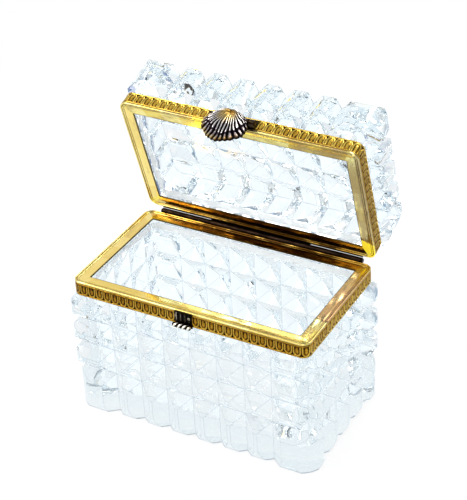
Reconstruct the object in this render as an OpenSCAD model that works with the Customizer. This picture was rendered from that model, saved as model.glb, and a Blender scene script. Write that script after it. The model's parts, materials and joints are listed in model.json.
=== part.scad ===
/* [Brass frame] */
// Length of the brass frames, left to right
frame_len = 140; // [110:1:180]
// Depth of the brass frames, front to back
frame_dep = 79.5; // [65:0.5:110]
// Corner radius of the frames seen from above
frame_r = 5; // [3:0.5:7]
// Height of the stamped band on each frame
band_h = 8.75; // [6:0.25:12]
// Thickness of the stamped band over its edge beads
band_t = 1.0; // [0.8:0.1:1.4]
// Depth of the sunk frieze between the edge beads
frieze_sink = 0.4; // [0.2:0.05:0.5]
// Height of the bead along the band's free edge
bead_h = 0.8; // [0.5:0.1:1.2]
// Width of the flat flange that covers the glass edge
flange_w = 7.5; // [6:0.25:9]
// Thickness of the flange
flange_t = 0.8; // [0.6:0.1:1.2]
// Width of the raised outer rim on the flange
rim_w = 2.6; // [1.5:0.1:4]
// Height of the raised rim above the flange
rim_step = 0.5; // [0.2:0.1:0.8]
// Inner corner radius of the raised rim
rim_r = 3; // [2:0.1:4]
// Corner radius of the flange's opening
inner_r = 1; // [0.5:0.1:2]
// Gap between the two rims with the lid closed
joint_gap = 0.2; // [0.1:0.05:0.5]

/* [Cut glass] */
// Height of the base, from the table to the joint
base_h = 82; // [60:0.5:110]
// Height of the lid above the joint
lid_h = 35; // [30:0.5:45]
// How far the cut studs stand out past the brass frame
stud_out = 4; // [2.5:0.25:5]
// Spacing of the mitre cuts
stud_pitch = 16; // [14:0.5:20]
// Width of a mitre cut at the face of the glass
cut_w = 14; // [10:0.5:14]
// Number of upright cuts across the front and the back
front_cuts = 7; // [5:1:7]
// Number of upright cuts on each side
side_cuts = 4; // [2:1:4]
// Number of full rows of studs between the band and the feet
stud_rows = 3; // [1:1:3]
// Thickness of the cement between the glass and the brass
cement_t = 0.45; // [0.3:0.05:0.8]
// How far the cement stops short of the flange's opening
cement_lap = 0.5; // [0.3:0.1:1]
// Distance from the band's free edge to the first studs
stud_drop = 0.35; // [0.2:0.05:1]
// Distance from the band's free edge up to the line of the first level cut
cut_tuck = 0.25; // [0:0.05:0.5]
// Plan radius of the stud corners
stud_r = 10; // [6:0.5:12]
// Plan radius of the foot and lid corners
foot_r = 14; // [6:0.5:15]
// Radius that rolls the feet under, and the lid's top edge over
roll_r = 12; // [10:0.5:16]
// How far the roll over the lid's top edge runs in before it meets the flat
roll_in = 4.6; // [3:0.1:6]
// How far the roll under the feet runs in
foot_roll_in = 2.8; // [1:0.1:5]
// Radius of the same roll under the four fuller corner feet
corner_roll_r = 9; // [6:0.5:12]
// How far the corner feet's roll runs in
corner_roll_in = 1.4; // [0.8:0.1:5]
// Wall of glass behind the bottom of the cuts
glass_wall = 6.8; // [5:0.1:9]
// Corner radius of the two cavities
cavity_r = 4; // [2:0.5:8]
// Thickness of the glass floor
floor_t = 12; // [8:0.5:18]
// Depth of the lid's cavity below its joint
lid_cavity = 20; // [12:0.5:22]

/* [Hinge] */
// How far the lid stands open, from closed
lid_open = 73.2; // [20:0.1:85]
// Length of the hinge barrel
hinge_len = 124; // [90:1:128]
// Share of the barrel taken by the lid's middle knuckle
mid_share = 0.5; // [0.3:0.05:0.6]
// Outer radius of the barrel
barrel_r = 1.7; // [1.5:0.05:1.8]
// Radius of the hinge pin
pin_r = 0.8; // [0.6:0.05:1]
// Distance of the hinge axis behind the frames
hinge_back = 2.5; // [2.45:0.05:3]
// Distance of the hinge axis below the base's rim
hinge_drop = 0.8; // [0.5:0.05:1]
// Thickness of the hinge leaves
leaf_t = 0.5; // [0.4:0.05:0.6]
// Height of each leaf on its band
leaf_h = 5.5; // [4:0.25:7]
// Gap between neighbouring knuckles
knuckle_gap = 0.3; // [0.2:0.05:0.5]
// Running clearance round each pivot pin
pin_fit = 0.05; // [0.02:0.01:0.1]
// Length of the stop that holds the open lid
stop_len = 1.4; // [1:0.1:2]
// Gap left at the stops
stop_gap = 0.05; // [0.03:0.01:0.1]

/* [Clasp] */
// Sideways place of the clasp and its catch, from the middle of the front
clasp_x = -1.5; // [-10:0.5:10]
// Width of the bracket that carries the shell
bracket_w = 26.4; // [26:0.2:34]
// Height of the bracket plate
bracket_h = 7; // [6:0.25:7.5]
// Thickness of the bracket and catch plates
plate_t = 0.8; // [0.6:0.05:1]
// Width of each bracket ear
ear_w = 3; // [2:0.1:4]
// Radius of the ears round the pivot
ear_r = 1.6; // [1.4:0.05:1.7]
// Radius of the lever's knuckles
knob_r = 1.9; // [1.85:0.05:2.1]
// Radius of the pivot pin
pivot_r = 0.75; // [0.6:0.05:0.9]
// Height of the pivot above the lid's joint
pivot_z = 2.7; // [2.6:0.1:3.5]
// Distance from the bracket plate's face to the pivot
pivot_out = 2.4; // [2.2:0.05:3]
// Width of the spring's space between the lever's knuckles
spring_w = 6.4; // [5:0.2:8]
// Radius of the spring wire
wire_r = 0.38; // [0.3:0.02:0.4]
// Number of turns in the spring
spring_turns = 5; // [3:1:5]
// Thickness of the lever's arm
arm_t = 0.8; // [0.6:0.05:1]
// Width of the arm at its hook
arm_w = 7; // [5:0.5:10]
// Reach of the arm below the lid's joint
arm_drop = 12; // [11.5:0.1:13]
// Thickness of the hook's tongue
tongue_t = 1; // [0.8:0.1:1.2]
// How far the tongue reaches behind the arm
tongue_in = 2.4; // [2:0.1:2.5]
// Sideways place of the shell on its lever
shell_x = 0.5; // [-2:0.5:2]
// Width of the shell
shell_w = 26; // [22:0.5:30]
// Height of the shell
shell_h = 21.4; // [18:0.2:26]
// Height of the shell's top edge above the lid's joint
shell_top = 4.8; // [4:0.1:7]
// Distance from the shell's top edge down to its crest
crest_in = 2.4; // [1.5:0.1:4]
// Greatest swell of the shell from its back
shell_swell = 4.6; // [3:0.1:6]
// Thickness of the shell's lip
shell_lip = 1.1; // [0.8:0.1:1.6]
// Number of ribs on the shell
shell_ribs = 13; // [9:2:17]
// Height of the ribs at the lip
rib_h = 0.8; // [0.4:0.1:1.2]
// Depth of the scallops round the lip
lip_wave = 0.7; // [0.3:0.1:1.2]
// Width of the catch plate on the base
catch_w = 11; // [9:0.5:14]
// Radius of the catch bar
bar_r = 1.15; // [1:0.05:1.3]
// Radius of the beads on the catch bar
bead_r = 1.45; // [1.3:0.05:1.6]
// Number of beads on the catch bar
bar_beads = 5; // [3:1:6]
// Radius of the rivets' shanks
rivet_r = 0.5; // [0.4:0.05:0.6]
// Radius of the rivets' heads
rivet_head_r = 0.85; // [0.7:0.05:1]

/* [Hidden] */
$fn = 64;
over = 5;                                  // how far cutters run past what they cut
roll_fn = 96;                              // sides of the circles that roll the glass
wire_fn = 28;                              // sides of the spring wire
coil_fn = 44;                              // sides of one turn of the spring

// Frames
front_y = -frame_dep / 2;
back_y = frame_dep / 2;
rim_t = flange_t + rim_step;               // full thickness at the raised rim
inner_len = frame_len - 2 * flange_w;
inner_dep = frame_dep - 2 * flange_w;

// Glass
cut_d = stud_out + band_t + cement_t;      // the cuts stop level with the neck in the band
glass_len = frame_len + 2 * stud_out;
glass_dep = frame_dep + 2 * stud_out;
neck_len = glass_len - 2 * cut_d;
neck_dep = glass_dep - 2 * cut_d;
neck_r = frame_r - band_t - cement_t;
cavity_len = neck_len - 2 * glass_wall;
cavity_dep = neck_dep - 2 * glass_wall;
neck_top = rim_t + cement_t;               // measured from the joint into the glass
stud_top = band_h + stud_drop;
first_cut = band_h - cut_tuck;
foot_cut = first_cut + stud_rows * stud_pitch;

// Hinge
hinge_y = back_y + hinge_back;
hinge_z = base_h - hinge_drop;
mid_len = hinge_len * mid_share;
side_len = (hinge_len - mid_len) / 2;
lid_z = base_h + joint_gap;
strap_gap = 0.1;                           // from a knuckle's strap to the rim it passes
strap_t = barrel_r - hinge_drop - joint_gap - strap_gap;
leaf_rise = 0.3;                           // from the lid's rim to the lid leaf's edge
leaf_rivets = 6;
leaf_rivet_pitch = hinge_len / leaf_rivets;
leaf_mid = 3.6;                            // rivet line, from the rim
pin_head_r = pin_r + 0.4;
pin_head_t = 0.5;
stop_skin = 0.4;                           // metal left between the pin and the stop
stop_root = 0.2;                           // how far the stop runs into the lid's knuckle
stop_side = 0.5;                           // from the stop's ends to the rivet heads beside it
stop_wide = leaf_rivet_pitch - 2 * rivet_head_r - 2 * stop_side;

// Clasp
plate_y = front_y - plate_t;
pivot_y = plate_y - pivot_out;
shell_y = pivot_y - knob_r;                // back of the shell, front of the arm
arm_y = shell_y + arm_t;
ear_x = bracket_w / 2 - ear_w;
knob_len = 2 * ear_x - 2 * knuckle_gap;
plate_edge = 0.3;                          // from the lid's joint to the bracket plate's edge
rivet_edge = 1.2;                          // from a rivet's centre to the plate's far edge
rivet_z = plate_edge + bracket_h - rivet_edge;
rivet_side = 2;                            // from an ear to the rivet beside it
bracket_rivet_x = ear_x - rivet_side;
shell_rivet_z = -5;
pivot_head_r = pivot_r + 0.35;
pivot_head_t = 0.4;
bar_drop = 0.5;                            // from the catch bar's centre up to the band's free edge
bar_z = -band_h + bar_drop;                // centre of the catch bar, from the joint
bead_seat = 0.25;                          // flat ground on the beads' backs
bar_y = plate_y - bead_r + bead_seat;
catch_rivet_in = 1.6;                      // from the catch plate's side to its rivet
catch_rivet_x = catch_w / 2 - catch_rivet_in;
catch_rivet_z = -3.4;
catch_top = -0.6;                          // top edge of the catch plate
coil_fit = 0.12;                           // from the pin to the spring
coil_r = pivot_r + coil_fit + wire_r;      // to the middle of the wire
coil_out = coil_r + wire_r;
coil_pitch = 2 * wire_r - 0.04;            // the turns press on each other
leg_len = 3.4;
leg_lean = asin((pivot_out - coil_out - stop_gap) / leg_len);
leg_y = arm_y - pivot_y + wire_r + stop_gap;
prop_gap = 0.1;                            // from the spring to the bracket's stop
prop_w = 1.6;                              // width of that stop
prop_h = pivot_z - coil_out - prop_gap - plate_edge;
arm_top = pivot_z - coil_out - 0.3;        // top of the arm's plate, under the spring
arm_shoulder = -2;                         // where the arm starts to narrow
arm_waist = -6;                            // where it reaches the hook's width
arm_root = 0.5;                            // how far the knuckles' webs run into the plate

// Shell
fan = 132;                                 // half of the angle that the ribs spread over
fan_end = 20;                              // angle over which the ribs die out behind the crest
peak = 0.36;                               // where the shell swells most, from crest to lip
curl = 0.9;                                // how far the lip curls back out
curl_from = 0.78;                          // where the curl starts, from crest to lip
rib_round = 1.2;                           // above 1 the furrows grow wider than the ribs
rib_grow = 0.8;                            // how the ribs' height grows towards the lip
swell_round = 2.2;                         // how flat the swell's top is
curl_round = 1.5;                          // how late the lip's curl sets in
lip_steps = 12;
fan_steps = 120;
full_turn = 360;
half_turn = full_turn / 2;

// ---- General shapes ----

// A rectangle with round corners, made of squares and circles
module round_rect(len, dep, r) {
    square([len - 2 * r, dep], center = true);
    square([len, dep - 2 * r], center = true);
    for (x = [-1, 1], y = [-1, 1])
        translate([x * (len / 2 - r), y * (dep / 2 - r)]) circle(r);
}

// A round-cornered frame between two outlines
module ring(len, dep, r, in_len, in_dep, in_r, h) {
    linear_extrude(h) difference() {
        round_rect(len, dep, r);
        round_rect(in_len, in_dep, in_r);
    }
}

// A V-shaped cutter that runs along X, cuts towards +Y and starts at y = 0
module mitre(length, depth = cut_d, width = cut_w) {
    grow = 1 + over / depth;
    rotate([90, 0, 90]) translate([0, 0, -length / 2]) linear_extrude(length)
        polygon([[-over, -width / 2 * grow], [-over, width / 2 * grow], [depth, 0]]);
}

// A cylinder that runs along X and is centred on the origin
module rod(length, r) {
    rotate([0, 90, 0]) cylinder(h = length, r = r, center = true);
}

// A rivet whose shank runs towards +Y from a domed head at y = 0
module rivet(length) {
    rotate([-90, 0, 0]) cylinder(h = length, r = rivet_r);
    intersection() {
        translate([0, rivet_head_r * 0.6, 0]) sphere(rivet_head_r * 1.2);
        rotate([90, 0, 0]) cylinder(h = rivet_head_r, r = rivet_head_r);
    }
}

module rivet_hole(length) {
    translate([0, -over, 0]) rotate([-90, 0, 0]) cylinder(h = length + over, r = rivet_r);
}

// Puts a lid piece, drawn upwards from its joint plane, on the open lid
module on_lid() {
    translate([0, hinge_y, hinge_z]) rotate([-lid_open, 0, 0])
        translate([0, -hinge_y, lid_z - hinge_z]) children();
}

// Puts a base piece, drawn downwards from its joint plane, on the base
module on_base() {
    translate([0, 0, base_h]) children();
}

// ---- Cut glass ----

// Mitre cuts that run round all four sides at height z
module level_cut(z) {
    for (s = [0, 180]) rotate([0, 0, s]) translate([0, -glass_dep / 2, z]) mitre(glass_len + over);
    for (s = [90, -90]) rotate([0, 0, s]) translate([0, -glass_len / 2, z]) mitre(glass_dep + over);
}

// Upright mitre cuts on all four sides
module upright_cuts(h) {
    for (s = [0, 180], i = [0 : front_cuts - 1])
        rotate([0, 0, s])
            translate([(i - (front_cuts - 1) / 2) * stud_pitch, -glass_dep / 2, h / 2])
                rotate([0, 90, 0]) mitre(h + over);
    for (s = [90, -90], i = [0 : side_cuts - 1])
        rotate([0, 0, s])
            translate([(i - (side_cuts - 1) / 2) * stud_pitch, -glass_len / 2, h / 2])
                rotate([0, 90, 0]) mitre(h + over);
}

// Mitre cuts across the flat top of the lid, which faces down at z = 0 here
module face_cuts() {
    for (i = [0 : front_cuts - 1])
        translate([(i - (front_cuts - 1) / 2) * stud_pitch, 0, 0])
            rotate([0, 0, 90]) rotate([90, 0, 0]) mitre(glass_dep + over);
    for (i = [0 : side_cuts - 1])
        translate([0, (i - (side_cuts - 1) / 2) * stud_pitch, 0])
            rotate([90, 0, 0]) mitre(glass_len + over);
}

// Height at which a roll of radius r that runs in by d leaves the upright face
function roll_rise(r, d) = sqrt(r * r - pow(r - d, 2));

// Side view of a block with its lower corners rolled under, width w and height h
module rolled(w, h, r, d) {
    side = w / 2 - r;
    rise = roll_rise(r, d);
    intersection() {
        translate([-w / 2, 0]) square([w, h]);
        union() {
            translate([-w / 2, rise]) square([w, h]);
            for (s = [-1, 1]) translate([s * side, rise]) circle(r, $fn = roll_fn);
            translate([-side, 0]) square([2 * side, h]);
        }
    }
}

// A block that stands on z = 0 with its lower edges rolled under on all four sides
module rolled_block(h, r, d) {
    intersection() {
        linear_extrude(h) round_rect(glass_len, glass_dep, foot_r);
        rotate([90, 0, 0]) linear_extrude(glass_dep + over, center = true)
            rolled(glass_len, h, r, d);
        rotate([90, 0, 90]) linear_extrude(glass_len + over, center = true)
            rolled(glass_dep, h, r, d);
    }
}

// The row of feet, with fuller corners outside the last upright cuts
module foot_row(h) {
    corner_x = (front_cuts - 1) / 2 * stud_pitch;
    corner_y = (side_cuts - 1) / 2 * stud_pitch;
    rolled_block(h, roll_r, foot_roll_in);
    intersection() {
        rolled_block(h, corner_roll_r, corner_roll_in);
        for (x = [0, 1], y = [0, 1]) mirror([x, 0, 0]) mirror([0, y, 0])
            translate([corner_x, corner_y, -over]) cube([glass_len, glass_dep, h + 2 * over]);
    }
}

module base_glass() {
    foot_h = base_h - foot_cut;
    color("aliceblue", 0.5) difference() {
        union() {
            foot_row(foot_h);
            translate([0, 0, foot_h]) linear_extrude(base_h - stud_top - foot_h)
                round_rect(glass_len, glass_dep, stud_r);
            translate([0, 0, foot_h]) linear_extrude(base_h - neck_top - foot_h)
                round_rect(neck_len, neck_dep, neck_r);
        }
        for (i = [0 : stud_rows]) difference() {
            level_cut(base_h - first_cut - i * stud_pitch);
            translate([0, 0, base_h - stud_top]) linear_extrude(over + stud_top)
                square([2 * glass_len, 2 * glass_dep], center = true);
        }
        difference() {
            upright_cuts(base_h - stud_top);
            translate([0, 0, base_h - stud_top]) linear_extrude(over + stud_top)
                square([2 * glass_len, 2 * glass_dep], center = true);
        }
        translate([0, 0, floor_t]) linear_extrude(base_h)
            round_rect(cavity_len, cavity_dep, cavity_r);
    }
}

// The lid's glass, drawn upwards from the joint
module lid_glass() {
    row_h = lid_h - stud_top;
    color("aliceblue", 0.5) on_lid() difference() {
        union() {
            translate([0, 0, lid_h]) mirror([0, 0, 1]) rolled_block(row_h, roll_r, roll_in);
            translate([0, 0, neck_top]) linear_extrude(row_h)
                round_rect(neck_len, neck_dep, neck_r);
        }
        intersection() {
            level_cut(first_cut);
            translate([0, 0, stud_top]) linear_extrude(lid_h)
                square([2 * glass_len, 2 * glass_dep], center = true);
        }
        intersection() {
            translate([0, 0, stud_top]) upright_cuts(lid_h);
            translate([0, 0, stud_top]) linear_extrude(lid_h)
                square([2 * glass_len, 2 * glass_dep], center = true);
        }
        translate([0, 0, lid_h]) mirror([0, 0, 1]) face_cuts();
        translate([0, 0, neck_top - over]) linear_extrude(lid_cavity - neck_top + over)
            round_rect(cavity_len, cavity_dep, cavity_r);
    }
}

// The cement bed between glass and brass, drawn downwards from the joint
module cement() {
    gap_len = frame_len - 2 * band_t;
    gap_dep = frame_dep - 2 * band_t;
    gap_r = frame_r - band_t;
    translate([0, 0, -rim_t - cement_t])
        ring(gap_len, gap_dep, gap_r,
             inner_len + 2 * cement_lap, inner_dep + 2 * cement_lap, inner_r, cement_t);
    translate([0, 0, -band_h])
        ring(gap_len, gap_dep, gap_r, neck_len, neck_dep, neck_r, band_h - rim_t - cement_t);
}

module base_cement() { color("linen") on_base() cement(); }

module lid_cement() { color("linen") on_lid() mirror([0, 0, 1]) cement(); }

// ---- Brass frames, drawn downwards from the joint ----

module flange_and_rim() {
    translate([0, 0, -rim_t])
        ring(frame_len, frame_dep, frame_r, inner_len, inner_dep, inner_r, flange_t);
    translate([0, 0, -rim_step])
        ring(frame_len, frame_dep, frame_r,
             frame_len - 2 * rim_w, frame_dep - 2 * rim_w, rim_r, rim_step);
}

module stamped_band() {
    sunk_len = frame_len - 2 * frieze_sink;
    sunk_dep = frame_dep - 2 * frieze_sink;
    in_len = frame_len - 2 * band_t;
    in_dep = frame_dep - 2 * band_t;
    translate([0, 0, -band_h])
        ring(frame_len, frame_dep, frame_r, in_len, in_dep, frame_r - band_t, bead_h);
    translate([0, 0, -band_h])
        ring(sunk_len, sunk_dep, frame_r - frieze_sink, in_len, in_dep, frame_r - band_t,
             band_h - rim_t);
}

module base_rim() { color("goldenrod") on_base() flange_and_rim(); }

module lid_rim() { color("gold") on_lid() mirror([0, 0, 1]) flange_and_rim(); }

module base_band() {
    color("darkgoldenrod") on_base() difference() {
        stamped_band();
        catch_rivet_places() rivet_hole(over);
        rotate([0, 0, 180]) leaf_rivet_places(-1) rivet_hole(over);
    }
}

module lid_band() {
    color("darkgoldenrod") on_lid() difference() {
        mirror([0, 0, 1]) stamped_band();
        bracket_rivet_places() rivet_hole(over);
        rotate([0, 0, 180]) leaf_rivet_places(1) rivet_hole(over);
    }
}

// ---- Hinge ----

// Rivets along a leaf, drawn on the front face so that a half turn brings them to the back
module leaf_rivet_places(up) {
    for (i = [0 : leaf_rivets - 1])
        translate([(i - (leaf_rivets - 1) / 2) * leaf_rivet_pitch,
                   front_y - leaf_t, up * leaf_mid]) children();
}

// One leaf as seen from the hinge axis: up is 1 for the lid's leaf and -1 for the base's
module leaf(up, knuckles) {
    rim_level = up > 0 ? lid_z - hinge_z : base_h - hinge_z;
    low = up > 0 ? rim_level + leaf_rise : -barrel_r;
    plate_h = up > 0 ? leaf_h : leaf_h - (rim_level + barrel_r - strap_t);
    difference() {
        union() {
            translate([-hinge_len / 2, -hinge_back, up > 0 ? low : low + strap_t - plate_h])
                cube([hinge_len, leaf_t, plate_h]);
            for (k = knuckles) {
                translate([k[0], 0, 0]) rod(k[1], barrel_r);
                translate([k[0] - k[1] / 2, -hinge_back, up > 0 ? barrel_r - strap_t : -barrel_r])
                    cube([k[1], hinge_back, strap_t]);
            }
        }
        rod(hinge_len + over, pin_r + pin_fit);
        translate([0, -hinge_y, rim_level]) rotate([0, 0, 180])
            leaf_rivet_places(up) rivet_hole(over);
    }
}

module hinge_base_leaf() {
    side_x = mid_len / 2 + side_len / 2;
    color("peru") translate([0, hinge_y, hinge_z])
        leaf(-1, [[-side_x, side_len - knuckle_gap], [side_x, side_len - knuckle_gap]]);
}

// The lid's leaf carries the stop, which meets the base's leaf when the lid is open
module hinge_lid_leaf() {
    stop_y = -hinge_back + leaf_t + stop_gap;
    color("peru") {
        translate([0, hinge_y, hinge_z]) rotate([-lid_open, 0, 0])
            leaf(1, [[0, mid_len - knuckle_gap]]);
        translate([-stop_wide / 2, hinge_y + stop_y, hinge_z - pin_r - stop_skin - stop_len])
            cube([stop_wide, stop_root - stop_y, stop_len]);
    }
}

module hinge_pin() {
    color("saddlebrown") translate([0, hinge_y, hinge_z]) {
        rod(hinge_len, pin_r);
        for (s = [-1, 1])
            translate([s * (hinge_len + pin_head_t) / 2, 0, 0]) rod(pin_head_t, pin_head_r);
    }
}

module hinge_base_rivets() {
    color("goldenrod") on_base() rotate([0, 0, 180]) leaf_rivet_places(-1)
        rivet(leaf_t + band_t);
}

module hinge_lid_rivets() {
    color("goldenrod") on_lid() rotate([0, 0, 180]) leaf_rivet_places(1)
        rivet(leaf_t + band_t);
}

// ---- Catch on the base ----

module catch_rivet_places() {
    for (s = [-1, 1])
        translate([clasp_x + s * catch_rivet_x, plate_y, catch_rivet_z]) children();
}

module catch_plate() {
    color("dimgray") on_base() difference() {
        translate([clasp_x - catch_w / 2, plate_y, bar_z - bar_r])
            cube([catch_w, plate_t, catch_top - bar_z + bar_r]);
        catch_rivet_places() rivet_hole(over);
    }
}

// A beaded bar along the foot of the catch plate, which the hook snaps under
module catch_bar() {
    gap = (catch_w - 2 * bead_r) / (bar_beads - 1);
    color("darkgoldenrod") on_base() intersection() {
        translate([clasp_x, bar_y, bar_z]) {
            rotate([0, 90, 0]) rotate_extrude() intersection() {
                translate([0, -catch_w / 2]) square([2 * bead_r, catch_w]);
                union() {
                    square([2 * bar_r, catch_w], center = true);
                    for (i = [0 : bar_beads - 1])
                        translate([0, (i - (bar_beads - 1) / 2) * gap]) circle(bead_r);
                }
            }
            translate([-catch_w / 2, 0, -bar_r / 2]) cube([catch_w, plate_y - bar_y, bar_r]);
        }
        translate([clasp_x - catch_w, bar_y - bead_r - over, bar_z - over])
            cube([2 * catch_w, plate_y - bar_y + bead_r + over, 2 * over]);
    }
}

module catch_rivets() {
    color("goldenrod") on_base() catch_rivet_places() rivet(plate_t + band_t);
}

// ---- Clasp on the lid, drawn upwards from the joint ----

module bracket_rivet_places() {
    for (s = [-1, 1])
        translate([clasp_x + s * bracket_rivet_x, plate_y, rivet_z]) children();
}

module clasp_bracket() {
    color("dimgray") on_lid() difference() {
        union() {
            translate([clasp_x - bracket_w / 2, plate_y, plate_edge])
                cube([bracket_w, plate_t, bracket_h]);
            for (s = [-1, 1]) {
                translate([clasp_x + s * (bracket_w - ear_w) / 2, pivot_y, pivot_z])
                    rod(ear_w, ear_r);
                translate([clasp_x + s * (bracket_w - ear_w) / 2 - ear_w / 2, pivot_y,
                           pivot_z - ear_r])
                    cube([ear_w, pivot_out + plate_t / 2, 2 * ear_r]);
            }
            translate([clasp_x - prop_w / 2, arm_y + stop_gap, plate_edge])
                cube([prop_w, plate_y - arm_y, prop_h]);
        }
        translate([clasp_x, pivot_y, pivot_z]) rod(bracket_w + over, pivot_r);
        bracket_rivet_places() rivet_hole(over);
    }
}

module clasp_rivets() {
    color("goldenrod") on_lid() bracket_rivet_places() rivet(plate_t + band_t);
}

module clasp_pin() {
    color("dimgray") on_lid() translate([clasp_x, pivot_y, pivot_z]) {
        rod(bracket_w, pivot_r);
        for (s = [-1, 1])
            translate([s * (bracket_w + pivot_head_t) / 2, 0, 0]) rod(pivot_head_t, pivot_head_r);
    }
}

// A wire spring wound round the pivot pin, one leg on the bracket and one behind the arm
module clasp_spring() {
    half = (spring_turns - 1) / 2 * coil_pitch;
    color("silver") on_lid() translate([clasp_x, pivot_y, pivot_z]) {
        rotate([0, 90, 0]) rotate_extrude($fn = coil_fn)
            for (i = [0 : spring_turns - 1])
                translate([coil_r, -half + i * coil_pitch]) circle(wire_r, $fn = wire_fn);
        translate([-half, coil_r, 0]) rotate([-leg_lean, 0, 0])
            cylinder(h = leg_len, r = wire_r, $fn = wire_fn);
        translate([half, leg_y, -sqrt(coil_r * coil_r - leg_y * leg_y)]) rotate([180, 0, 0])
            cylinder(h = leg_len, r = wire_r, $fn = wire_fn);
    }
}

// The arm that turns on the pivot: two knuckles and a plate behind the shell
module clasp_lever() {
    knuckle_len = (knob_len - spring_w) / 2;
    knuckle_x = (knob_len + spring_w) / 4;
    color("gray") on_lid() difference() {
        union() {
            for (s = [-1, 1]) {
                translate([clasp_x + s * knuckle_x, pivot_y, pivot_z]) rod(knuckle_len, knob_r);
                translate([clasp_x + s * knuckle_x - knuckle_len / 2, shell_y, arm_top - arm_root])
                    cube([knuckle_len, arm_t, pivot_z - arm_top + arm_root]);
            }
            translate([clasp_x, arm_y, 0]) rotate([90, 0, 0]) linear_extrude(arm_t)
                polygon([[-knob_len / 2, arm_top], [knob_len / 2, arm_top],
                         [knob_len / 2, arm_shoulder], [arm_w / 2, arm_waist],
                         [arm_w / 2, -arm_drop], [-arm_w / 2, -arm_drop],
                         [-arm_w / 2, arm_waist], [-knob_len / 2, arm_shoulder]]);
        }
        translate([clasp_x, pivot_y, pivot_z]) rod(bracket_w, pivot_r + pin_fit);
        translate([clasp_x, shell_y, shell_rivet_z]) rivet_hole(over);
    }
}

// The tongue soldered behind the arm's lower end
module clasp_hook() {
    color("gray") on_lid() translate([clasp_x - arm_w / 2, arm_y, -arm_drop])
        cube([arm_w, tongue_in, tongue_t]);
}

module shell_rivet() {
    color("gray") on_lid() translate([clasp_x, arm_y, shell_rivet_z]) rotate([0, 0, 180])
        rivet(arm_t + shell_lip / 2);
}

// ---- Scallop shell ----

// The shell's outline as a distance from its crest: a is 0 straight down
function lip_r(a) =
    let (wide = shell_w / 2, tall = shell_h / 2, drop = tall - crest_in,
         k = pow(sin(a) / wide, 2) + pow(cos(a) / tall, 2),
         m = drop * cos(a) / (tall * tall))
    (m + sqrt(m * m - k * (pow(drop / tall, 2) - 1))) / k - lip_wave * (1 - rib(a)) * fade(a);

// 1 on a rib and 0 in the furrow between two ribs
function rib(a) = pow(abs(cos(a * shell_ribs / (2 * fan) * half_turn)), rib_round);

// 1 over the fan of ribs, falling to 0 behind the crest
function fade(a) = abs(a) < fan ? 1 : max(0, 1 - (abs(a) - fan) / fan_end);

// Height of the shell's face above its back, at share s of the way to the lip
function swell(s, a) =
    shell_lip + (shell_swell - shell_lip) * (1 - pow(abs(s - peak) / (1 - peak), swell_round))
    + rib_h * pow(s, rib_grow) * (rib(a) - 1 / 2) * fade(a)
    + curl * pow(max(0, (s - curl_from) / (1 - curl_from)), curl_round) * fade(a);

// The angle of step j, from straight down to half a turn on either side
function fan_angle(j) =
    let (a = j * full_turn / fan_steps) a > half_turn ? a - full_turn : a;

module clasp_shell() {
    function at(j, s) = let (a = fan_angle(j), r = lip_r(a) * s) [r * sin(a), -r * cos(a)];
    function high(j, s) = swell(s, fan_angle(j));
    face = [for (i = [1 : lip_steps], j = [0 : fan_steps - 1])
        let (s = i / lip_steps, p = at(j, s)) [p[0], -high(j, s), p[1]]];
    back = [for (j = [0 : fan_steps - 1]) let (p = at(j, 1)) [p[0], 0, p[1]]];
    first_back = len(face);
    crest = first_back + len(back);
    hub = crest + 1;
    function next(j) = (j + 1) % fan_steps;
    // quads between ring i and ring i + 1, split in two
    sides = [for (i = [0 : lip_steps - 1], j = [0 : fan_steps - 1])
        let (a = i * fan_steps, b = a + fan_steps)
        each [[a + j, a + next(j), b + next(j)], [a + j, b + next(j), b + j]]];
    top = [for (j = [0 : fan_steps - 1]) [crest, next(j), j]];
    under = [for (j = [0 : fan_steps - 1]) [hub, first_back + j, first_back + next(j)]];
    color("dimgray") on_lid() difference() {
        translate([clasp_x + shell_x, shell_y, shell_top - crest_in])
            polyhedron(concat(face, back, [[0, -swell(0, 0), 0], [0, 0, 0]]),
                       concat(sides, top, under));
        translate([clasp_x, shell_y - shell_lip / 2, shell_rivet_z])
            rotate([-90, 0, 0]) cylinder(h = over, r = rivet_r);
    }
}

base_glass();
base_cement();
base_rim();
base_band();
catch_plate();
catch_bar();
catch_rivets();
hinge_base_leaf();
hinge_base_rivets();
hinge_pin();
lid_glass();
lid_cement();
lid_rim();
lid_band();
hinge_lid_leaf();
hinge_lid_rivets();
clasp_bracket();
clasp_rivets();
clasp_pin();
clasp_spring();
clasp_lever();
clasp_hook();
shell_rivet();
clasp_shell();
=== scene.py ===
import json
import math
from functools import partial

import bmesh
import bpy
from mathutils import Matrix, Vector


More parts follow.
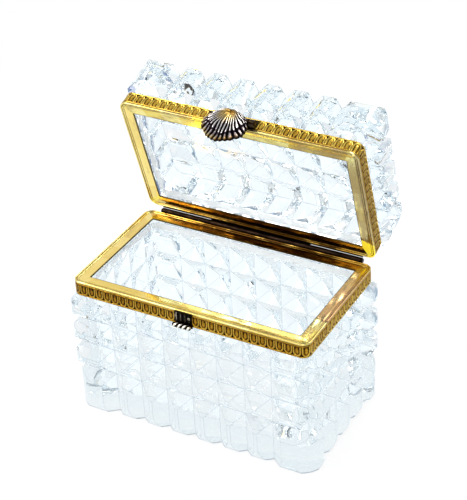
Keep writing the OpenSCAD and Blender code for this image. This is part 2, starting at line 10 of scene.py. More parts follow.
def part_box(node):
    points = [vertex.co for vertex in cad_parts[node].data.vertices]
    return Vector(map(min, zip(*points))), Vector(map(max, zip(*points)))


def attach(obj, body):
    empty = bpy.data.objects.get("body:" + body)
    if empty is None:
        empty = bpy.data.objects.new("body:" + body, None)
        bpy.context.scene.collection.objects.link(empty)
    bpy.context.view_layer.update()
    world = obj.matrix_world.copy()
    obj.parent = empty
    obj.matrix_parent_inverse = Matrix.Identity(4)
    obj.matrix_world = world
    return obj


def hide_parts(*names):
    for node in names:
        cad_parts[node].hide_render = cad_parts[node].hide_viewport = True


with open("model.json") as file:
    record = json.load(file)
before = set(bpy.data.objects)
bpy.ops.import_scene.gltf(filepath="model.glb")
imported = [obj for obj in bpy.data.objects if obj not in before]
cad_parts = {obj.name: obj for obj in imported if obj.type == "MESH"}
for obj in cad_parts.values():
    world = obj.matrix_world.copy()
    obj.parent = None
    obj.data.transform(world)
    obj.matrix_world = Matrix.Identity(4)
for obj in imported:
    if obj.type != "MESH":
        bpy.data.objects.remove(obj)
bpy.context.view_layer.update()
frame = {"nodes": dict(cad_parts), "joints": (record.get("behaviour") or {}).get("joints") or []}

bl_info = {
    "name": "Cut-crystal casket",
    "version": (1, 0, 0),
    "blender": (4, 5, 0),
    "location": "3D View > Sidebar > Casket",
    "description": "Dresses a casket in cut crystal, stamped gilt brass and a cast scallop clasp",
    "category": "Object",
}

MM = 0.001

# ---- The frame: where the construction has put things ----

NODES = frame["nodes"]
RIM_LOW, RIM_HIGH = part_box("base_rim")
BAND_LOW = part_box("base_band")[0]
HALF_LEN = RIM_HIGH.x
HALF_DEP = RIM_HIGH.y
JOINT_Z = RIM_HIGH.z
RIM_T = RIM_HIGH.z - RIM_LOW.z
BAND_H = RIM_HIGH.z - BAND_LOW.z
HINGE = next(j for j in frame["joints"] if j["name"] == "lid_hinge")
HINGE_POINT = Vector(HINGE["pos_m"])
LID_OPEN = math.radians(HINGE["range_deg"][1])
JOINT_GAP = 0.2 * MM

# From the closed lid to where the lid stands at rest
LID_UP = Matrix.Translation(HINGE_POINT) @ Matrix.Rotation(-LID_OPEN, 4, "X") @ Matrix.Translation(-HINGE_POINT)
# Frame parts are drawn downwards from the joint; on the lid they are turned over
PLACES = {
    "base": Matrix.Translation((0, 0, JOINT_Z)),
    "lid": LID_UP @ Matrix.Translation((0, 0, JOINT_Z + JOINT_GAP)) @ Matrix.Rotation(math.pi, 4, "X"),
}


def closed_points(node):
    """The points of a lid or clasp node as they lie with the lid closed."""
    back = LID_UP.inverted()
    return [back @ v.co for v in NODES[node].data.vertices]


def closed_box(node):
    axes = list(zip(*closed_points(node)))
    return Vector([min(axis) for axis in axes]), Vector([max(axis) for axis in axes])


# ---- What a user would change ----


def size(name, description, millimetres):
    """A length of the ornament, kept in metres and shown in the scene's unit."""
    return bpy.props.FloatProperty(
        name=name, description=description, default=millimetres * MM, unit="LENGTH", precision=5
    )


def tint(name, description, hex_text):
    """A colour, kept as linear light."""
    return bpy.props.FloatVectorProperty(
        name=name, description=description, default=linear(hex_text)[:3], subtype="COLOR", min=0, max=1
    )


def linear(hex_text):
    """sRGB hex to linear RGBA."""
    parts = [int(hex_text[i : i + 2], 16) / 255 for i in (1, 3, 5)]
    return [c / 12.92 if c <= 0.04045 else ((c + 0.055) / 1.055) ** 2.4 for c in parts] + [1.0]


class CasketSizes(bpy.types.PropertyGroup):
    """Lengths and numbers of the ornament"""

    corner_r: size("Frame corner", "Plan radius of the brass frames' corners", 5)
    flange_w: size("Flange", "Width of the flat flange over the glass edge", 7.5)
    flange_down: size("Flange step", "How far the flange lies below the frame's lip", 0.5)
    lip_w: size("Lip", "Width of the round lip along the frame's outer edge", 0.9)
    cove_w: size("Cove", "Width of the slope between the lip and the flange", 1.3)
    bead_h: size("Edge bead", "Height of the bead along the band's free edge", 0.8)
    frieze_sink: size("Frieze", "How far the frieze is sunk below the bead", 0.4)
    relief: size("Relief", "Height of the stamped ornament", 0.4)
    arris_w: size("Arris", "Width of the worn arris between the cuts of the crystal", 0.18)
    # How high the crystal's lowest band is, which is tinted as a painted contact shadow
    foot_shade_h: size("Foot edge", "Height of the worn edge that the crystal stands on", 0.7)
    motifs: bpy.props.IntProperty(
        name="Motifs", description="Eggs stamped round one frame", default=88, min=8, max=200
    )
    shell_ribs: bpy.props.IntProperty(
        name="Shell ribs", description="Ribs cast on the scallop shell", default=35, min=7, max=45
    )
    rib_h: size("Rib height", "Height of the shell's ribs at its lip", 1.0)


class CasketColours(bpy.types.PropertyGroup):
    """Colours of the crystal, the metals and the floor"""

    crystal: tint("Crystal", "Colour of the crystal's polished surface", "#FCFEFF")
    # The arrises are rough from wear; their grey is painted shade for the dark lines along the cuts
    arris: tint("Arrises", "Colour of the worn arrises between the cuts", "#A4B6C4")
    # painted contact shadow along the crystal's lowest band
    foot_contact_shade: tint("Foot edges", "Colour of the worn edges that the crystal stands on", "#8795A2")
    depth: tint("Crystal depth", "Colour that the crystal takes where it is thick", "#B2DCEA")
    gilt_pale: tint("Pale gilding", "Gilding where it is rubbed bright", "#F7E698")
    # paler gilding: partly rubbed by handling, partly painted light where the flanges should look brighter
    gilt_rubbed_and_lit: tint("Rubbed gilding", "Gilding worn pale by handling", "#FFE38C")
    gilt: tint("Gilding", "Clean gilded brass", "#EACF66")
    lacquer: tint("Old lacquer", "Bright yellow lacquer left on the gilding", "#FFE638")
    gilt_deep: tint("Deep gilding", "Gilding in its deeper streaks", "#BE9838")
    stamp: tint("Stamped gilding", "Gilding on the stamped ornament", "#C8A034")
    # the flanks' deeper gilding is partly painted shade
    stamp_deep: tint("Stamped gilding, deep", "Gilding on the ornament's flanks", "#A5761A")
    stamp_old: tint("Stamped gilding, old", "Olive tone over the ornament where it is tarnished", "#B99C50")
    olive: tint("Olive tarnish", "Light tarnish on the gilding", "#B09A70")
    amber: tint("Amber tarnish", "Light tarnish beside the hinge", "#DBA640")
    copper: tint("Bare copper", "Copper where the gilding is gone", "#CFA070")
    tarnish: tint("Tarnish", "Brown tarnish on brass", "#4A2A0A")
    # dirt, and painted shade in the frames' grooves, coves, edges and the ornament's ground
    recess: tint("Recess", "Dirt in the recesses", "#221503")
    silver: tint("Silvering", "Silvering left on the shell's ribs", "#F1EAE0")
    bronze: tint("Bronze", "Bronze on the ribs' flanks", "#6A5A62")
    bronze_dark: tint("Bronze furrows", "Dark patina in the shell's furrows", "#120D10")
    iron_dark: tint("Dark brass", "Aged brass of the hinge", "#140C08")
    paper: tint("Floor", "Paper that the casket stands on", "#FFFFFF")


# ---- Small tools ----


def add_object(name, data):
    item = bpy.data.objects.new(name, data)
    bpy.context.scene.collection.objects.link(item)
    return item


def finish_piece(mesh, name, body, material, replaces=(), smooth=None):
    """Puts a finished mesh in the scene, on its body."""
    piece = add_object(name, mesh)
    mesh.materials.clear()
    mesh.materials.append(material)
    if smooth is not None:
        mesh.shade_smooth()
        mesh.set_sharp_from_angle(angle=math.radians(smooth))
    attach(piece, body)
    if replaces:
        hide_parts(*replaces)


def mesh_from(points, faces, name):
    mesh = bpy.data.meshes.new(name)
    mesh.from_pydata(points, [], faces)
    mesh.validate()
    return mesh


def quads(rows, columns, ring=False, closed=False):
    """Faces between rows of points. A ring closes each row; closed joins the last row to the first."""
    faces = []
    for row in range(rows if closed else rows - 1):
        here, there = row * columns, (row + 1) % rows * columns
        for i in range(columns if ring else columns - 1):
            j = (i + 1) % columns
            faces.append((here + i, here + j, there + j, there + i))
    return faces


def end_caps(rows, columns):
    """Two faces that close the first and the last of a row of rings."""
    last = (rows - 1) * columns
    return [tuple(range(columns)), tuple(range(last, last + columns))]


def edit_mesh(mesh, change):
    """Opens a mesh for bmesh's operators, and writes it back."""
    work = bmesh.new()
    work.from_mesh(mesh)
    change(work)
    work.to_mesh(mesh)
    work.free()


def face_outwards(work):
    bmesh.ops.recalc_face_normals(work, faces=work.faces)


def set_values(mesh, name, values):
    mesh.attributes.new(name, "FLOAT", "POINT").data.foreach_set("value", values)


def closed_mesh(points, faces, name, **values):
    """A closed mesh, faced outwards, with its named values at the points."""
    mesh = mesh_from(points, faces, name)
    edit_mesh(mesh, face_outwards)
    for key, numbers in values.items():
        set_values(mesh, key, numbers)
    return mesh


# ---- Node trees ----

# Kinds of nodes that are used most
MATH, MIX, RAMP, STEP = "ShaderNodeMath", "ShaderNodeMix", "ShaderNodeValToRGB", "ShaderNodeMapRange"
NOISE, BUMP, COORDINATES = "ShaderNodeTexNoise", "ShaderNodeBump", "ShaderNodeTexCoord"
ATTRIBUTE, PRINCIPLED, OUTPUT = "ShaderNodeAttribute", "ShaderNodeBsdfPrincipled", "ShaderNodeOutputMaterial"
# Their settings
PLUS, MINUS, TIMES, TIMES_PLUS, LARGER, UNSIGNED = (
    {"operation": name} for name in ("ADD", "SUBTRACT", "MULTIPLY", "MULTIPLY_ADD", "MAXIMUM", "ABSOLUTE")
)
CLAMPED = {"use_clamp": True}
SMOOTH = {"interpolation_type": "SMOOTHSTEP"}
COLOUR = {"data_type": "RGBA"}
# The mix node's output for colours; its inputs for them are i6 and i7
MIXED = 2


def rgba(colour):
    """Four channels, from hex text, one grey, or a colour of three or four."""
    if isinstance(colour, str):
        return linear(colour)
    return ([colour] * 3 if isinstance(colour, float) else list(colour)[:3]) + [1.0]


def add_node(tree, kind, settings=None, output=0, **inputs):
    """Adds a node with its settings and links, and returns one of its outputs.

    The setting "stops" fills a colour ramp with (place, colour) pairs. An input is called by its name, or i0, i1
    and so on by its number, and is given a value or another node's output.
    """
    node = tree.nodes.new(kind)
    for key, value in (settings or {}).items():
        if key != "stops":
            setattr(node, key, value)
            continue
        elements = node.color_ramp.elements
        while len(elements) < len(value):
            elements.new(0.5)
        for element, (place, colour) in zip(elements, value):
            element.position = place
            element.color = rgba(colour)
    for key, value in inputs.items():
        numbered = key[0] == "i" and key[1:].isdigit()
        socket = node.inputs[int(key[1:]) if numbered else key.replace("_", " ")]
        if isinstance(value, bpy.types.NodeSocket):
            tree.links.new(value, socket)
        else:
            socket.default_value = rgba(value) if socket.type == "RGBA" else value
    return node.outputs[output] if node.outputs else None


def new_material(name):
    """A material with an empty tree, and what adds nodes to it."""
    material = bpy.data.materials.new(name)
    material.use_nodes = True
    material.node_tree.nodes.clear()
    return material, partial(add_node, material.node_tree)


# ---- Materials ----

# Each pattern's scale is 1 over the real size of its features


def cut_crystal(colours):
    """Lead crystal, cut on stone wheels and polished, with finely worn arrises tinted grey as painted shade, a
    darker band where it stands as a painted contact shadow, and a faint blue depth.
    """
    material, node = new_material("cut_lead_crystal")
    waves = node(NOISE, Vector=node(COORDINATES, output="Object"), Scale=1 / (9 * MM), Detail=1.0)
    arris = node(ATTRIBUTE, {"attribute_name": "arris"}, "Fac")
    # painted shade: a grey tint on the worn arrises, and a darker one on the band the crystal stands on
    foot = node(MATH, MINUS | CLAMPED, i0=arris, i1=1.0)
    skin = node(MIX, COLOUR, MIXED, i0=arris, i6=colours.crystal, i7=colours.arris)
    skin = node(MIX, COLOUR, MIXED, i0=foot, i6=skin, i7=colours.foot_contact_shade)
    shader = node(
        PRINCIPLED, Base_Color=skin, Roughness=node(MATH, TIMES, i0=arris, i1=0.3), IOR=1.55,
        Transmission_Weight=1.0, Normal=node(BUMP, Height=waves, Strength=0.7, Distance=0.45 * MM),
    )
    depth = node("ShaderNodeVolumeAbsorption", Color=colours.depth, Density=2.2)
    node(OUTPUT, Surface=shader, Volume=depth)
    return material


# Where each flange's streaks start
STREAK_SEEDS = {"base": 3.7, "lid": 11.2}
# Lacquer left round each flange: (distance round it and half length in mm, share)
LACQUER = {"base": [], "lid": [(6, 8.5, 0.95), (171, 4, 0.8), (296, 4, 0.5)]}


def gilt_flange(colours, body, joint_at):
    """Fire-gilt brass sheet: drawn streaks, brown tarnish towards the hinge, and one soldered joint. Its untarnished
    gilding is painted paler, as wear and as painted light, and its edges, groove and cove take dirt and painted
    shade.
    """
    material, node = new_material(f"gilt_brass_sheet_{body}")
    seed = STREAK_SEEDS[body]
    strip = node("ShaderNodeUVMap", {"uv_map": "strip"})
    along = node("ShaderNodeSeparateXYZ", Vector=strip)
    relief, tarnish, amber = (
        node(ATTRIBUTE, {"attribute_name": name}, "Fac") for name in ("relief", "tarnish", "amber")
    )
    # drawn streaks, wider than real ones so that they show, and rounder clouds
    fine, wide = (
        node("ShaderNodeMapping", Vector=strip, Scale=(1 / length, 1 / width, 1), Location=(seed, seed, 0))
        for length, width in ((30 * MM, 0.55 * MM), (15 * MM, 6 * MM))
    )
    streaks = node(NOISE, Vector=fine, Scale=1.0, Detail=4.0)
    clouds = node(NOISE, Vector=wide, Scale=1.0, Detail=5.0, Roughness=0.62)
    # lengths that were burnished more or less
    shifted = node(MATH, PLUS, i0=along, i1=seed)
    cells = node("ShaderNodeTexVoronoi", {"voronoi_dimensions": "1D"}, "Color", W=shifted, Scale=1 / (11 * MM))
    lengths = node(MATH, MINUS, i0=node("ShaderNodeSeparateColor", Color=cells), i1=0.55)
    shade = node(MATH, TIMES, i0=streaks, i1=0.45)
    shade = node(MATH, TIMES_PLUS, i0=clouds, i1=0.55, i2=shade)
    shade = node(MATH, TIMES_PLUS, i0=lengths, i1=0.26, i2=shade)
    tones = ((0.34, colours.gilt_pale), (0.50, colours.gilt), (0.68, colours.gilt_deep))
    skin = node(RAMP, {"stops": tones}, Fac=shade)
    # gilding is rubbed pale where there is no tarnish, and painted paler there as painted light
    rubbed = node(MATH, TIMES_PLUS | CLAMPED, i0=tarnish, i1=-4.0, i2=1.0)
    rubbed = node(MATH, TIMES, i0=rubbed, i1=0.75)
    skin = node(MIX, COLOUR, MIXED, i0=rubbed, i6=skin, i7=colours.gilt_rubbed_and_lit)
    # tarnish spreads from the hinge side in ragged clouds, and in spots
    spread = node(MATH, TIMES_PLUS, i0=tarnish, i1=0.55, i2=clouds)
    spots = node(NOISE, Vector=node(COORDINATES, output="Object"), Scale=1 / (2.2 * MM), Detail=5.0, Roughness=0.7)
    light = node(MIX, COLOUR, MIXED, i0=amber, i6=colours.olive, i7=colours.amber)
    for value, low, high, share, colour in (
        (spread, 0.60, 0.85, 0.8, light),
        (spread, 0.88, 1.08, 0.95, colours.tarnish),
        (spots, 0.62, 0.76, 0.5, colours.tarnish),
    ):
        cover = node(STEP, SMOOTH, Value=value, From_Min=low, From_Max=high, To_Max=share)
        skin = node(MIX, COLOUR, MIXED, i0=cover, i6=skin, i7=colour)
    # the ends of the strip meet in a soldered joint, coppery on one side where tarnish hasn't covered it
    ragged = node(MATH, TIMES_PLUS, i0=spots, i1=6 * MM, i2=-3 * MM)
    place = node(MATH, PLUS, i0=along, i1=ragged)
    past = node(MATH, MINUS, i0=place, i1=joint_at)
    off = node(MATH, UNSIGNED, i0=past)
    line = node(STEP, SMOOTH, Value=off, From_Min=0.15 * MM, From_Max=0.6 * MM, To_Min=0.8, To_Max=0.0)
    begun = node(STEP, SMOOTH, Value=past, From_Min=-0.4 * MM, From_Max=0.4 * MM)
    faded = node(STEP, SMOOTH, Value=past, From_Min=25 * MM, From_Max=60 * MM, To_Min=1.0, To_Max=0.0)
    hidden = node(STEP, SMOOTH, Value=tarnish, From_Min=0.75, From_Max=1.0)
    copper = node(MATH, TIMES, i0=begun, i1=faded)
    copper = node(MATH, TIMES, i0=copper, i1=node(MATH, MINUS | CLAMPED, i0=0.8, i1=hidden))
    skin = node(MIX, COLOUR, MIXED, i0=copper, i6=skin, i7=colours.copper)
    # lacquer is left in a few places, and isn't metallic
    metallic = 1.0
    for middle, half, share in LACQUER[body]:
        off = node(MATH, UNSIGNED, i0=node(MATH, MINUS, i0=place, i1=middle * MM))
        spot = node(STEP, SMOOTH, Value=off, From_Min=(half - 1) * MM, From_Max=half * MM, To_Min=share, To_Max=0.0)
        skin = node(MIX, COLOUR, MIXED, i0=spot, i6=skin, i7=colours.lacquer)
        metallic = node(MATH, TIMES_PLUS, i0=spot, i1=-0.85, i2=metallic)
    # dark where the profile is not clean: dirt, and painted shade along the edges, in the groove and the cove; the
    # joint's dark line joins it
    dirt = node(STEP, SMOOTH, Value=relief, From_Min=0.2, From_Max=0.7, To_Min=0.9, To_Max=0.0)
    dirt = node(MATH, LARGER, i0=dirt, i1=line)
    shader = node(
        PRINCIPLED, Base_Color=node(MIX, COLOUR, MIXED, i0=dirt, i6=skin, i7=colours.recess), Metallic=metallic,
        Roughness=node(RAMP, {"stops": ((0.35, 0.07), (0.65, 0.24))}, Fac=shade),
        Normal=node(BUMP, Height=streaks, Strength=0.18, Distance=0.05 * MM),
    )
    node(OUTPUT, Surface=shader)
    return material


def stamped_gilt(colours):
    """Stamped brass strip, gilt: bright on the raised ornament, darker on its flanks and brown in the ground, with
    old polish and painted shade there.
    """
    material, node = new_material("stamped_gilt_brass")
    place = node(COORDINATES, output="Object")
    level, tarnish = (node(ATTRIBUTE, {"attribute_name": name}, "Fac") for name in ("relief", "tarnish"))
    dirt = node(NOISE, Vector=place, Scale=1 / (1.6 * MM), Detail=5.0, Roughness=0.6)
    clouds = node(NOISE, Vector=place, Scale=1 / (22 * MM), Detail=3.0)
    pits = node(NOISE, Vector=place, Scale=1 / (0.7 * MM), Detail=3.0)
    pits = node(STEP, SMOOTH, Value=pits, From_Min=0.55, From_Max=0.66)
    # what brightens and darkens it: its middle, and its share
    for cause, middle, share in ((dirt, 0.42, 0.8), (clouds, 0.5, -0.5), (tarnish, 0.0, -0.28), (pits, 0.0, -0.4)):
        swing = node(MATH, MINUS, i0=cause, i1=middle)
        level = node(MATH, TIMES_PLUS, i0=swing, i1=share, i2=level)
    # by height: recess colour in the ground and deeper gilding on the flanks, as dirt and painted shade
    tones = ((0.06, colours.recess), (0.20, colours.stamp_deep), (0.56, colours.stamp), (0.95, colours.gilt))
    skin = node(RAMP, {"stops": tones}, Fac=level)
    tarnish = node(MATH, TIMES, i0=tarnish, i1=0.75)
    skin = node(MIX, COLOUR | {"blend_type": "MULTIPLY"}, MIXED, i0=tarnish, i6=skin, i7=colours.stamp_old)
    shader = node(
        PRINCIPLED, Base_Color=skin, Metallic=1.0,
        Roughness=node(RAMP, {"stops": ((0.1, 0.5), (0.8, 0.2))}, Fac=level),
        Normal=node(BUMP, Height=dirt, Strength=0.15, Distance=0.08 * MM),
    )
    node(OUTPUT, Surface=shader)
    return material


def aged_brass(name, dark, light):
    """Old brass left to tarnish: brown-black, rubbed to bare metal on what is touched."""
    material, node = new_material(name)
    place = node(COORDINATES, output="Object")
    patina = node(NOISE, Vector=place, Scale=1 / (4 * MM), Detail=5.0, Roughness=0.65)
    fine = node(NOISE, Vector=place, Scale=1 / (0.8 * MM), Detail=3.0)
    shader = node(
        PRINCIPLED, Base_Color=node(RAMP, {"stops": ((0.38, dark), (0.72, light))}, Fac=patina), Metallic=1.0,
        Roughness=node(RAMP, {"stops": ((0.3, 0.25), (0.7, 0.45))}, Fac=fine),
        Normal=node(BUMP, Height=fine, Strength=0.2, Distance=0.05 * MM),
    )
    node(OUTPUT, Surface=shader)
    return material


def shell_bronze(colours):
    """Cast bronze, once silvered: dark in the furrows, polished on the ribs, gilt left at the crest, with painted
    shadow along the seam under the lip's ruffle.
    """
    material, node = new_material("silvered_cast_bronze")
    dirt = node(NOISE, Vector=node(COORDINATES, output="Object"), Scale=1 / (1.6 * MM), Detail=4.0)
    level, crest = (node(ATTRIBUTE, {"attribute_name": name}, "Fac") for name in ("relief", "crest"))
    level = node(MATH, TIMES_PLUS, i0=node(MATH, MINUS, i0=dirt, i1=0.5), i1=0.5, i2=level)
    silvered = ((0.50, colours.bronze_dark), (0.72, colours.bronze), (0.95, colours.silver))
    gilt = ((0.30, "#2E1D05"), (0.55, "#C8942A"), (0.95, "#F8E29A"))
    skin, gold = (node(RAMP, {"stops": tones}, Fac=level) for tones in (silvered, gilt))
    shader = node(
        PRINCIPLED, Base_Color=node(MIX, COLOUR, MIXED, i0=crest, i6=skin, i7=gold), Metallic=1.0,
        Roughness=node(RAMP, {"stops": ((0.2, 0.55), (0.9, 0.2))}, Fac=level),
        Normal=node(BUMP, Height=dirt, Strength=0.25, Distance=0.08 * MM),
    )
    node(OUTPUT, Surface=shader)
    return material


def catch_metal():
    """Blackened brass, dark as patina and as painted shade, rubbed on its reeds and beads, where near-white painted
    highlights lie.
    """
    material, node = new_material("blackened_highlit_catch_brass")
    dirt = node(NOISE, Vector=node(COORDINATES, output="Object"), Scale=1 / (1.2 * MM), Detail=4.0)
    level = node(ATTRIBUTE, {"attribute_name": "relief"}, "Fac")
    level = node(MATH, TIMES_PLUS, i0=node(MATH, MINUS, i0=dirt, i1=0.5), i1=0.5, i2=level)
    skin = node(RAMP, {"stops": ((0.35, "#0B0806"), (0.62, "#5E5344"), (0.9, "#FBF4E4"))}, Fac=level)
    node(OUTPUT, Surface=node(PRINCIPLED, Base_Color=skin, Metallic=1.0, Roughness=0.3))
    return material


def plaster():
    """Plaster of Paris bed under the brass: chalky, with a little glow for the light that the glass brings in."""
    material, node = new_material("plaster_cement")
    grain = node(NOISE, Vector=node(COORDINATES, output="Object"), Scale=1 / (1.2 * MM), Detail=4.0)
    shader = node(
        PRINCIPLED, Base_Color=node(RAMP, {"stops": ((0.3, "#F3F1EC"), (0.7, "#FBFAF7"))}, Fac=grain),
        Roughness=0.85, Normal=node(BUMP, Height=grain, Strength=0.3, Distance=0.1 * MM),
        Emission_Color="#FFFFFF", Emission_Strength=0.3,
    )
    node(OUTPUT, Surface=shader)
    return material


def spring_wire():
    """Drawn spring steel, blued in the fire: dark, with a cold gleam."""
    material, node = new_material("blued_spring_steel")
    grain = node(NOISE, Vector=node(COORDINATES, output="Object"), Scale=1 / (0.6 * MM), Detail=3.0)
    skin = node(RAMP, {"stops": ((0.3, "#3B3F4A"), (0.7, "#6A707C"))}, Fac=grain)
    node(OUTPUT, Surface=node(PRINCIPLED, Base_Color=skin, Metallic=1.0, Roughness=0.35))
    return material


# ---- Crystal ----

# Edges sharper than this are cut arrises
ARRIS_ANGLE = math.radians(20)
# Values of the crystal's attribute for its worn arrises and its foot band, which both take painted shade
ARRIS, FOOT_SHADE = 1, 2


def crystal_mesh(node, arris_w, foot_shade_h):
    """The cut block with its flats made whole, a band where it stands that takes a painted contact shadow, and a
    fine worn arris along each cut that takes painted shade.
    """
    mesh = NODES[node].data.copy()
    mesh.name = node + "_cut"
    work = bmesh.new()
    work.from_mesh(mesh)
    bmesh.ops.remove_doubles(work, verts=work.verts, dist=0.002 * MM)
    bmesh.ops.dissolve_limit(
        work, angle_limit=math.radians(0.4), verts=work.verts, edges=work.edges, use_dissolve_boundaries=False
    )
    arrises = [edge for edge in work.edges if edge.is_manifold and edge.calc_face_angle() > ARRIS_ANGLE]
    bmesh.ops.bevel(
        work, geom=arrises, affect="EDGES", offset=arris_w, offset_type="WIDTH",
        segments=1, profile=0.5, clamp_overlap=False, material=ARRIS,
    )
    bmesh.ops.bisect_plane(
        work, geom=work.verts[:] + work.edges[:] + work.faces[:], plane_co=(0, 0, foot_shade_h), plane_no=(0, 0, 1)
    )
    # faces of the lowest band, except those facing down, take the painted contact shadow
    for face in work.faces:
        faces_down = face.normal.z <= -0.7
        if face.calc_center_median().z < foot_shade_h and not faces_down:
            face.material_index = FOOT_SHADE
    flags = work.faces.layers.float.new("arris")
    for face in work.faces:
        face[flags] = float(face.material_index)
        face.material_index = 0
    work.to_mesh(mesh)
    work.free()
    return mesh


class CASKET_OT_crystal(bpy.types.Operator):
    """Dress the two cut-crystal blocks"""

    bl_idname = "casket.crystal"
    bl_label = "Crystal"

    def execute(self, context):
        sizes = context.scene.casket_sizes
        material = cut_crystal(context.scene.casket_colours)
        for body in ("base", "lid"):
            node = body + "_glass"
            mesh = crystal_mesh(node, sizes.arris_w, sizes.foot_shade_h)
            finish_piece(mesh, body + "_crystal", body, material, [node], smooth=14)
        return {"FINISHED"}


# ---- Brass frames ----

CORNER_STEPS = 12
SIDE_STEPS = 24
INNER_CORNER_R = 0.4 * MM
# Where the soldered joint of each flange lies, round it from the start of its first corner
JOINTS = {"base": 26 * MM, "lid": 350 * MM}
# The height that the two fine beads of a band take
FINE_BEADS_H = 0.95 * MM
# How tarnished each side is, from 0 for rubbed gilding to 1 for brown-black; the back is the hinge side; on the
# flanges, low values also paint the gilding paler as painted light
TARNISH = {
    "base": {"right": 0.45, "back": 1.02, "left": 0.05, "front": 0.10},
    "lid": {"right": 0.62, "back": 1.12, "left": 0.02, "front": 0.34},
}
BAND_TARNISH = {
    "base": {"right": 0.45, "back": 1.0, "left": 0.6, "front": 0.8},
    "lid": {"right": 0.6, "back": 0.95, "left": 0.20, "front": 0.18},
}
# The hinge side's tarnish fades to this share of itself at its two ends
HINGE_ENDS = {"base": 0.62, "lid": 0.30}
# Where it is darkest, as a share of the way round that side
DARKEST = {"base": 0.42, "lid": 0.62}


def rounded_loop(half_len, half_dep, radius):
    """Points round a rectangle with round corners, the same number whatever its size."""
    bends = []
    for across, along, start in ((1, -1, -90), (1, 1, 0), (-1, 1, 90), (-1, -1, 180)):
        centre = Vector((across * (half_len - radius), along * (half_dep - radius)))
        turns = [math.radians(start + 90 * step / CORNER_STEPS) for step in range(CORNER_STEPS + 1)]
        bends.append([centre + radius * Vector((math.cos(turn), math.sin(turn))) for turn in turns])
    loop = []
    for bend, after in zip(bends, bends[1:] + bends[:1]):
        loop += bend + [bend[-1].lerp(after[0], step / SIDE_STEPS) for step in range(1, SIDE_STEPS)]
    return loop


def side_tones(body, shares):
    """Tarnish for each point of the loop, blended round the corners."""
    order = ["front", "right", "back", "left"] if body == "base" else ["back", "right", "front", "left"]
    lean = math.log(0.5) / math.log(DARKEST[body])
    ends = {side: share * (HINGE_ENDS[body] if side == "back" else 1) for side, share in shares.items()}
    tones = []
    for side, after in zip(order, order[1:] + order[:1]):
        tones += [ends[side] + (ends[after] - ends[side]) * k / CORNER_STEPS for k in range(CORNER_STEPS + 1)]
        for step in range(1, SIDE_STEPS):
            swell = math.sin(math.pi * (step / SIDE_STEPS) ** lean) ** 0.8
            tones.append(ends[after] + (shares[after] - ends[after]) * swell)
    return tones


def distances(loop):
    """How far round a closed loop each of its points lies, and at last the whole way."""
    lengths = [0.0]
    for here, after in zip(loop, loop[1:] + loop[:1]):
        lengths.append(lengths[-1] + math.dist(here, after))
    return lengths


def frame_ring(profile, body, name, corner_r):
    """A closed profile of (out, z, cleanness) swept round the frame; out is measured from its outer edge. Low
    cleanness darkens it with dirt and painted shade.
    """
    loops = [
        rounded_loop(HALF_LEN + out, HALF_DEP + out, max(corner_r + out, INNER_CORNER_R)) for out, _, _ in profile
    ]
    around = len(loops[0])
    points = [(p.x, p.y, z) for loop, (_, z, _) in zip(loops, profile) for p in loop]
    mesh = mesh_from(points, quads(len(profile), around, ring=True, closed=True), name)
    along = distances(rounded_loop(HALF_LEN, HALF_DEP, corner_r))
    across = distances([(out, z) for out, z, _ in profile])
    places = [
        (along[i + right], across[row + up])
        for row in range(len(profile)) for i in range(around) for right, up in ((0, 0), (1, 0), (1, 1), (0, 1))
    ]
    for corner, place in zip(mesh.uv_layers.new(name="strip").data, places):
        corner.uv = place
    # cleanness is kept as "relief": its low values take dirt and painted shade
    set_values(mesh, "relief", [clean_unshaded for _, _, clean_unshaded in profile for _ in range(around)])
    shares = (BAND_TARNISH if "band" in name else TARNISH)[body]
    set_values(mesh, "tarnish", side_tones(body, shares) * len(profile))
    only_back = {side: 2.0 if side == "back" else 0.0 for side in shares}
    set_values(mesh, "amber", [min(1.0, tone) for tone in side_tones(body, only_back)] * len(profile))
    return mesh


def arc(centre, radius, start, end, steps, clean_unshaded=1.0):
    """Points on an arc in the profile's plane, in degrees from outwards towards up."""
    turns = [math.radians(start + (end - start) * k / steps) for k in range(steps + 1)]
    return [(centre[0] + radius * math.cos(t), centre[1] + radius * math.sin(t), clean_unshaded) for t in turns]


def flat_points(*pairs, clean_unshaded=1.0):
    """Points given in millimetres."""
    return [(out * MM, z * MM, clean_unshaded) for out, z in pairs]


def rim_profile(sizes):
    """Flange, groove, cove and round lip, going outwards from the flange's inner edge. Low cleanness paints thin
    contact shadows along the edges and shade in the groove and the cove, over the dirt there.
    """
    edge_r = 0.2 * MM
    lip_r = sizes.lip_w / 2
    width = sizes.flange_w / MM
    flat = -sizes.flange_down / MM
    low = -RIM_T / MM
    foot = -(sizes.lip_w + sizes.cove_w) / MM
    return (
        arc((-sizes.flange_w + edge_r, flat * MM - edge_r), edge_r, 180, 90, 3, 0.1)
        + flat_points((0.3 - width, flat), clean_unshaded=0.1)
        + flat_points((0.6 - width, flat), (foot - 0.3, flat))
        + flat_points((foot - 0.1, flat - 0.05), (foot + 0.1, flat - 0.12), (foot + 0.25, flat - 0.04), clean_unshaded=0.4)
        + flat_points((foot + 0.4, flat + 0.12), (foot + 0.6, flat + 0.2), (foot + 0.85, flat + 0.2))
        + flat_points((foot + 0.95, flat + 0.08), (foot + 1.25, flat + 0.08), clean_unshaded=0.0)
        + arc((-lip_r, -lip_r), lip_r, 150, -40, 10)
        + arc((-0.3 * MM, low * MM + edge_r), edge_r, 0, -90, 3, 0.1)
        + flat_points((-width, low), clean_unshaded=0.3)
    )


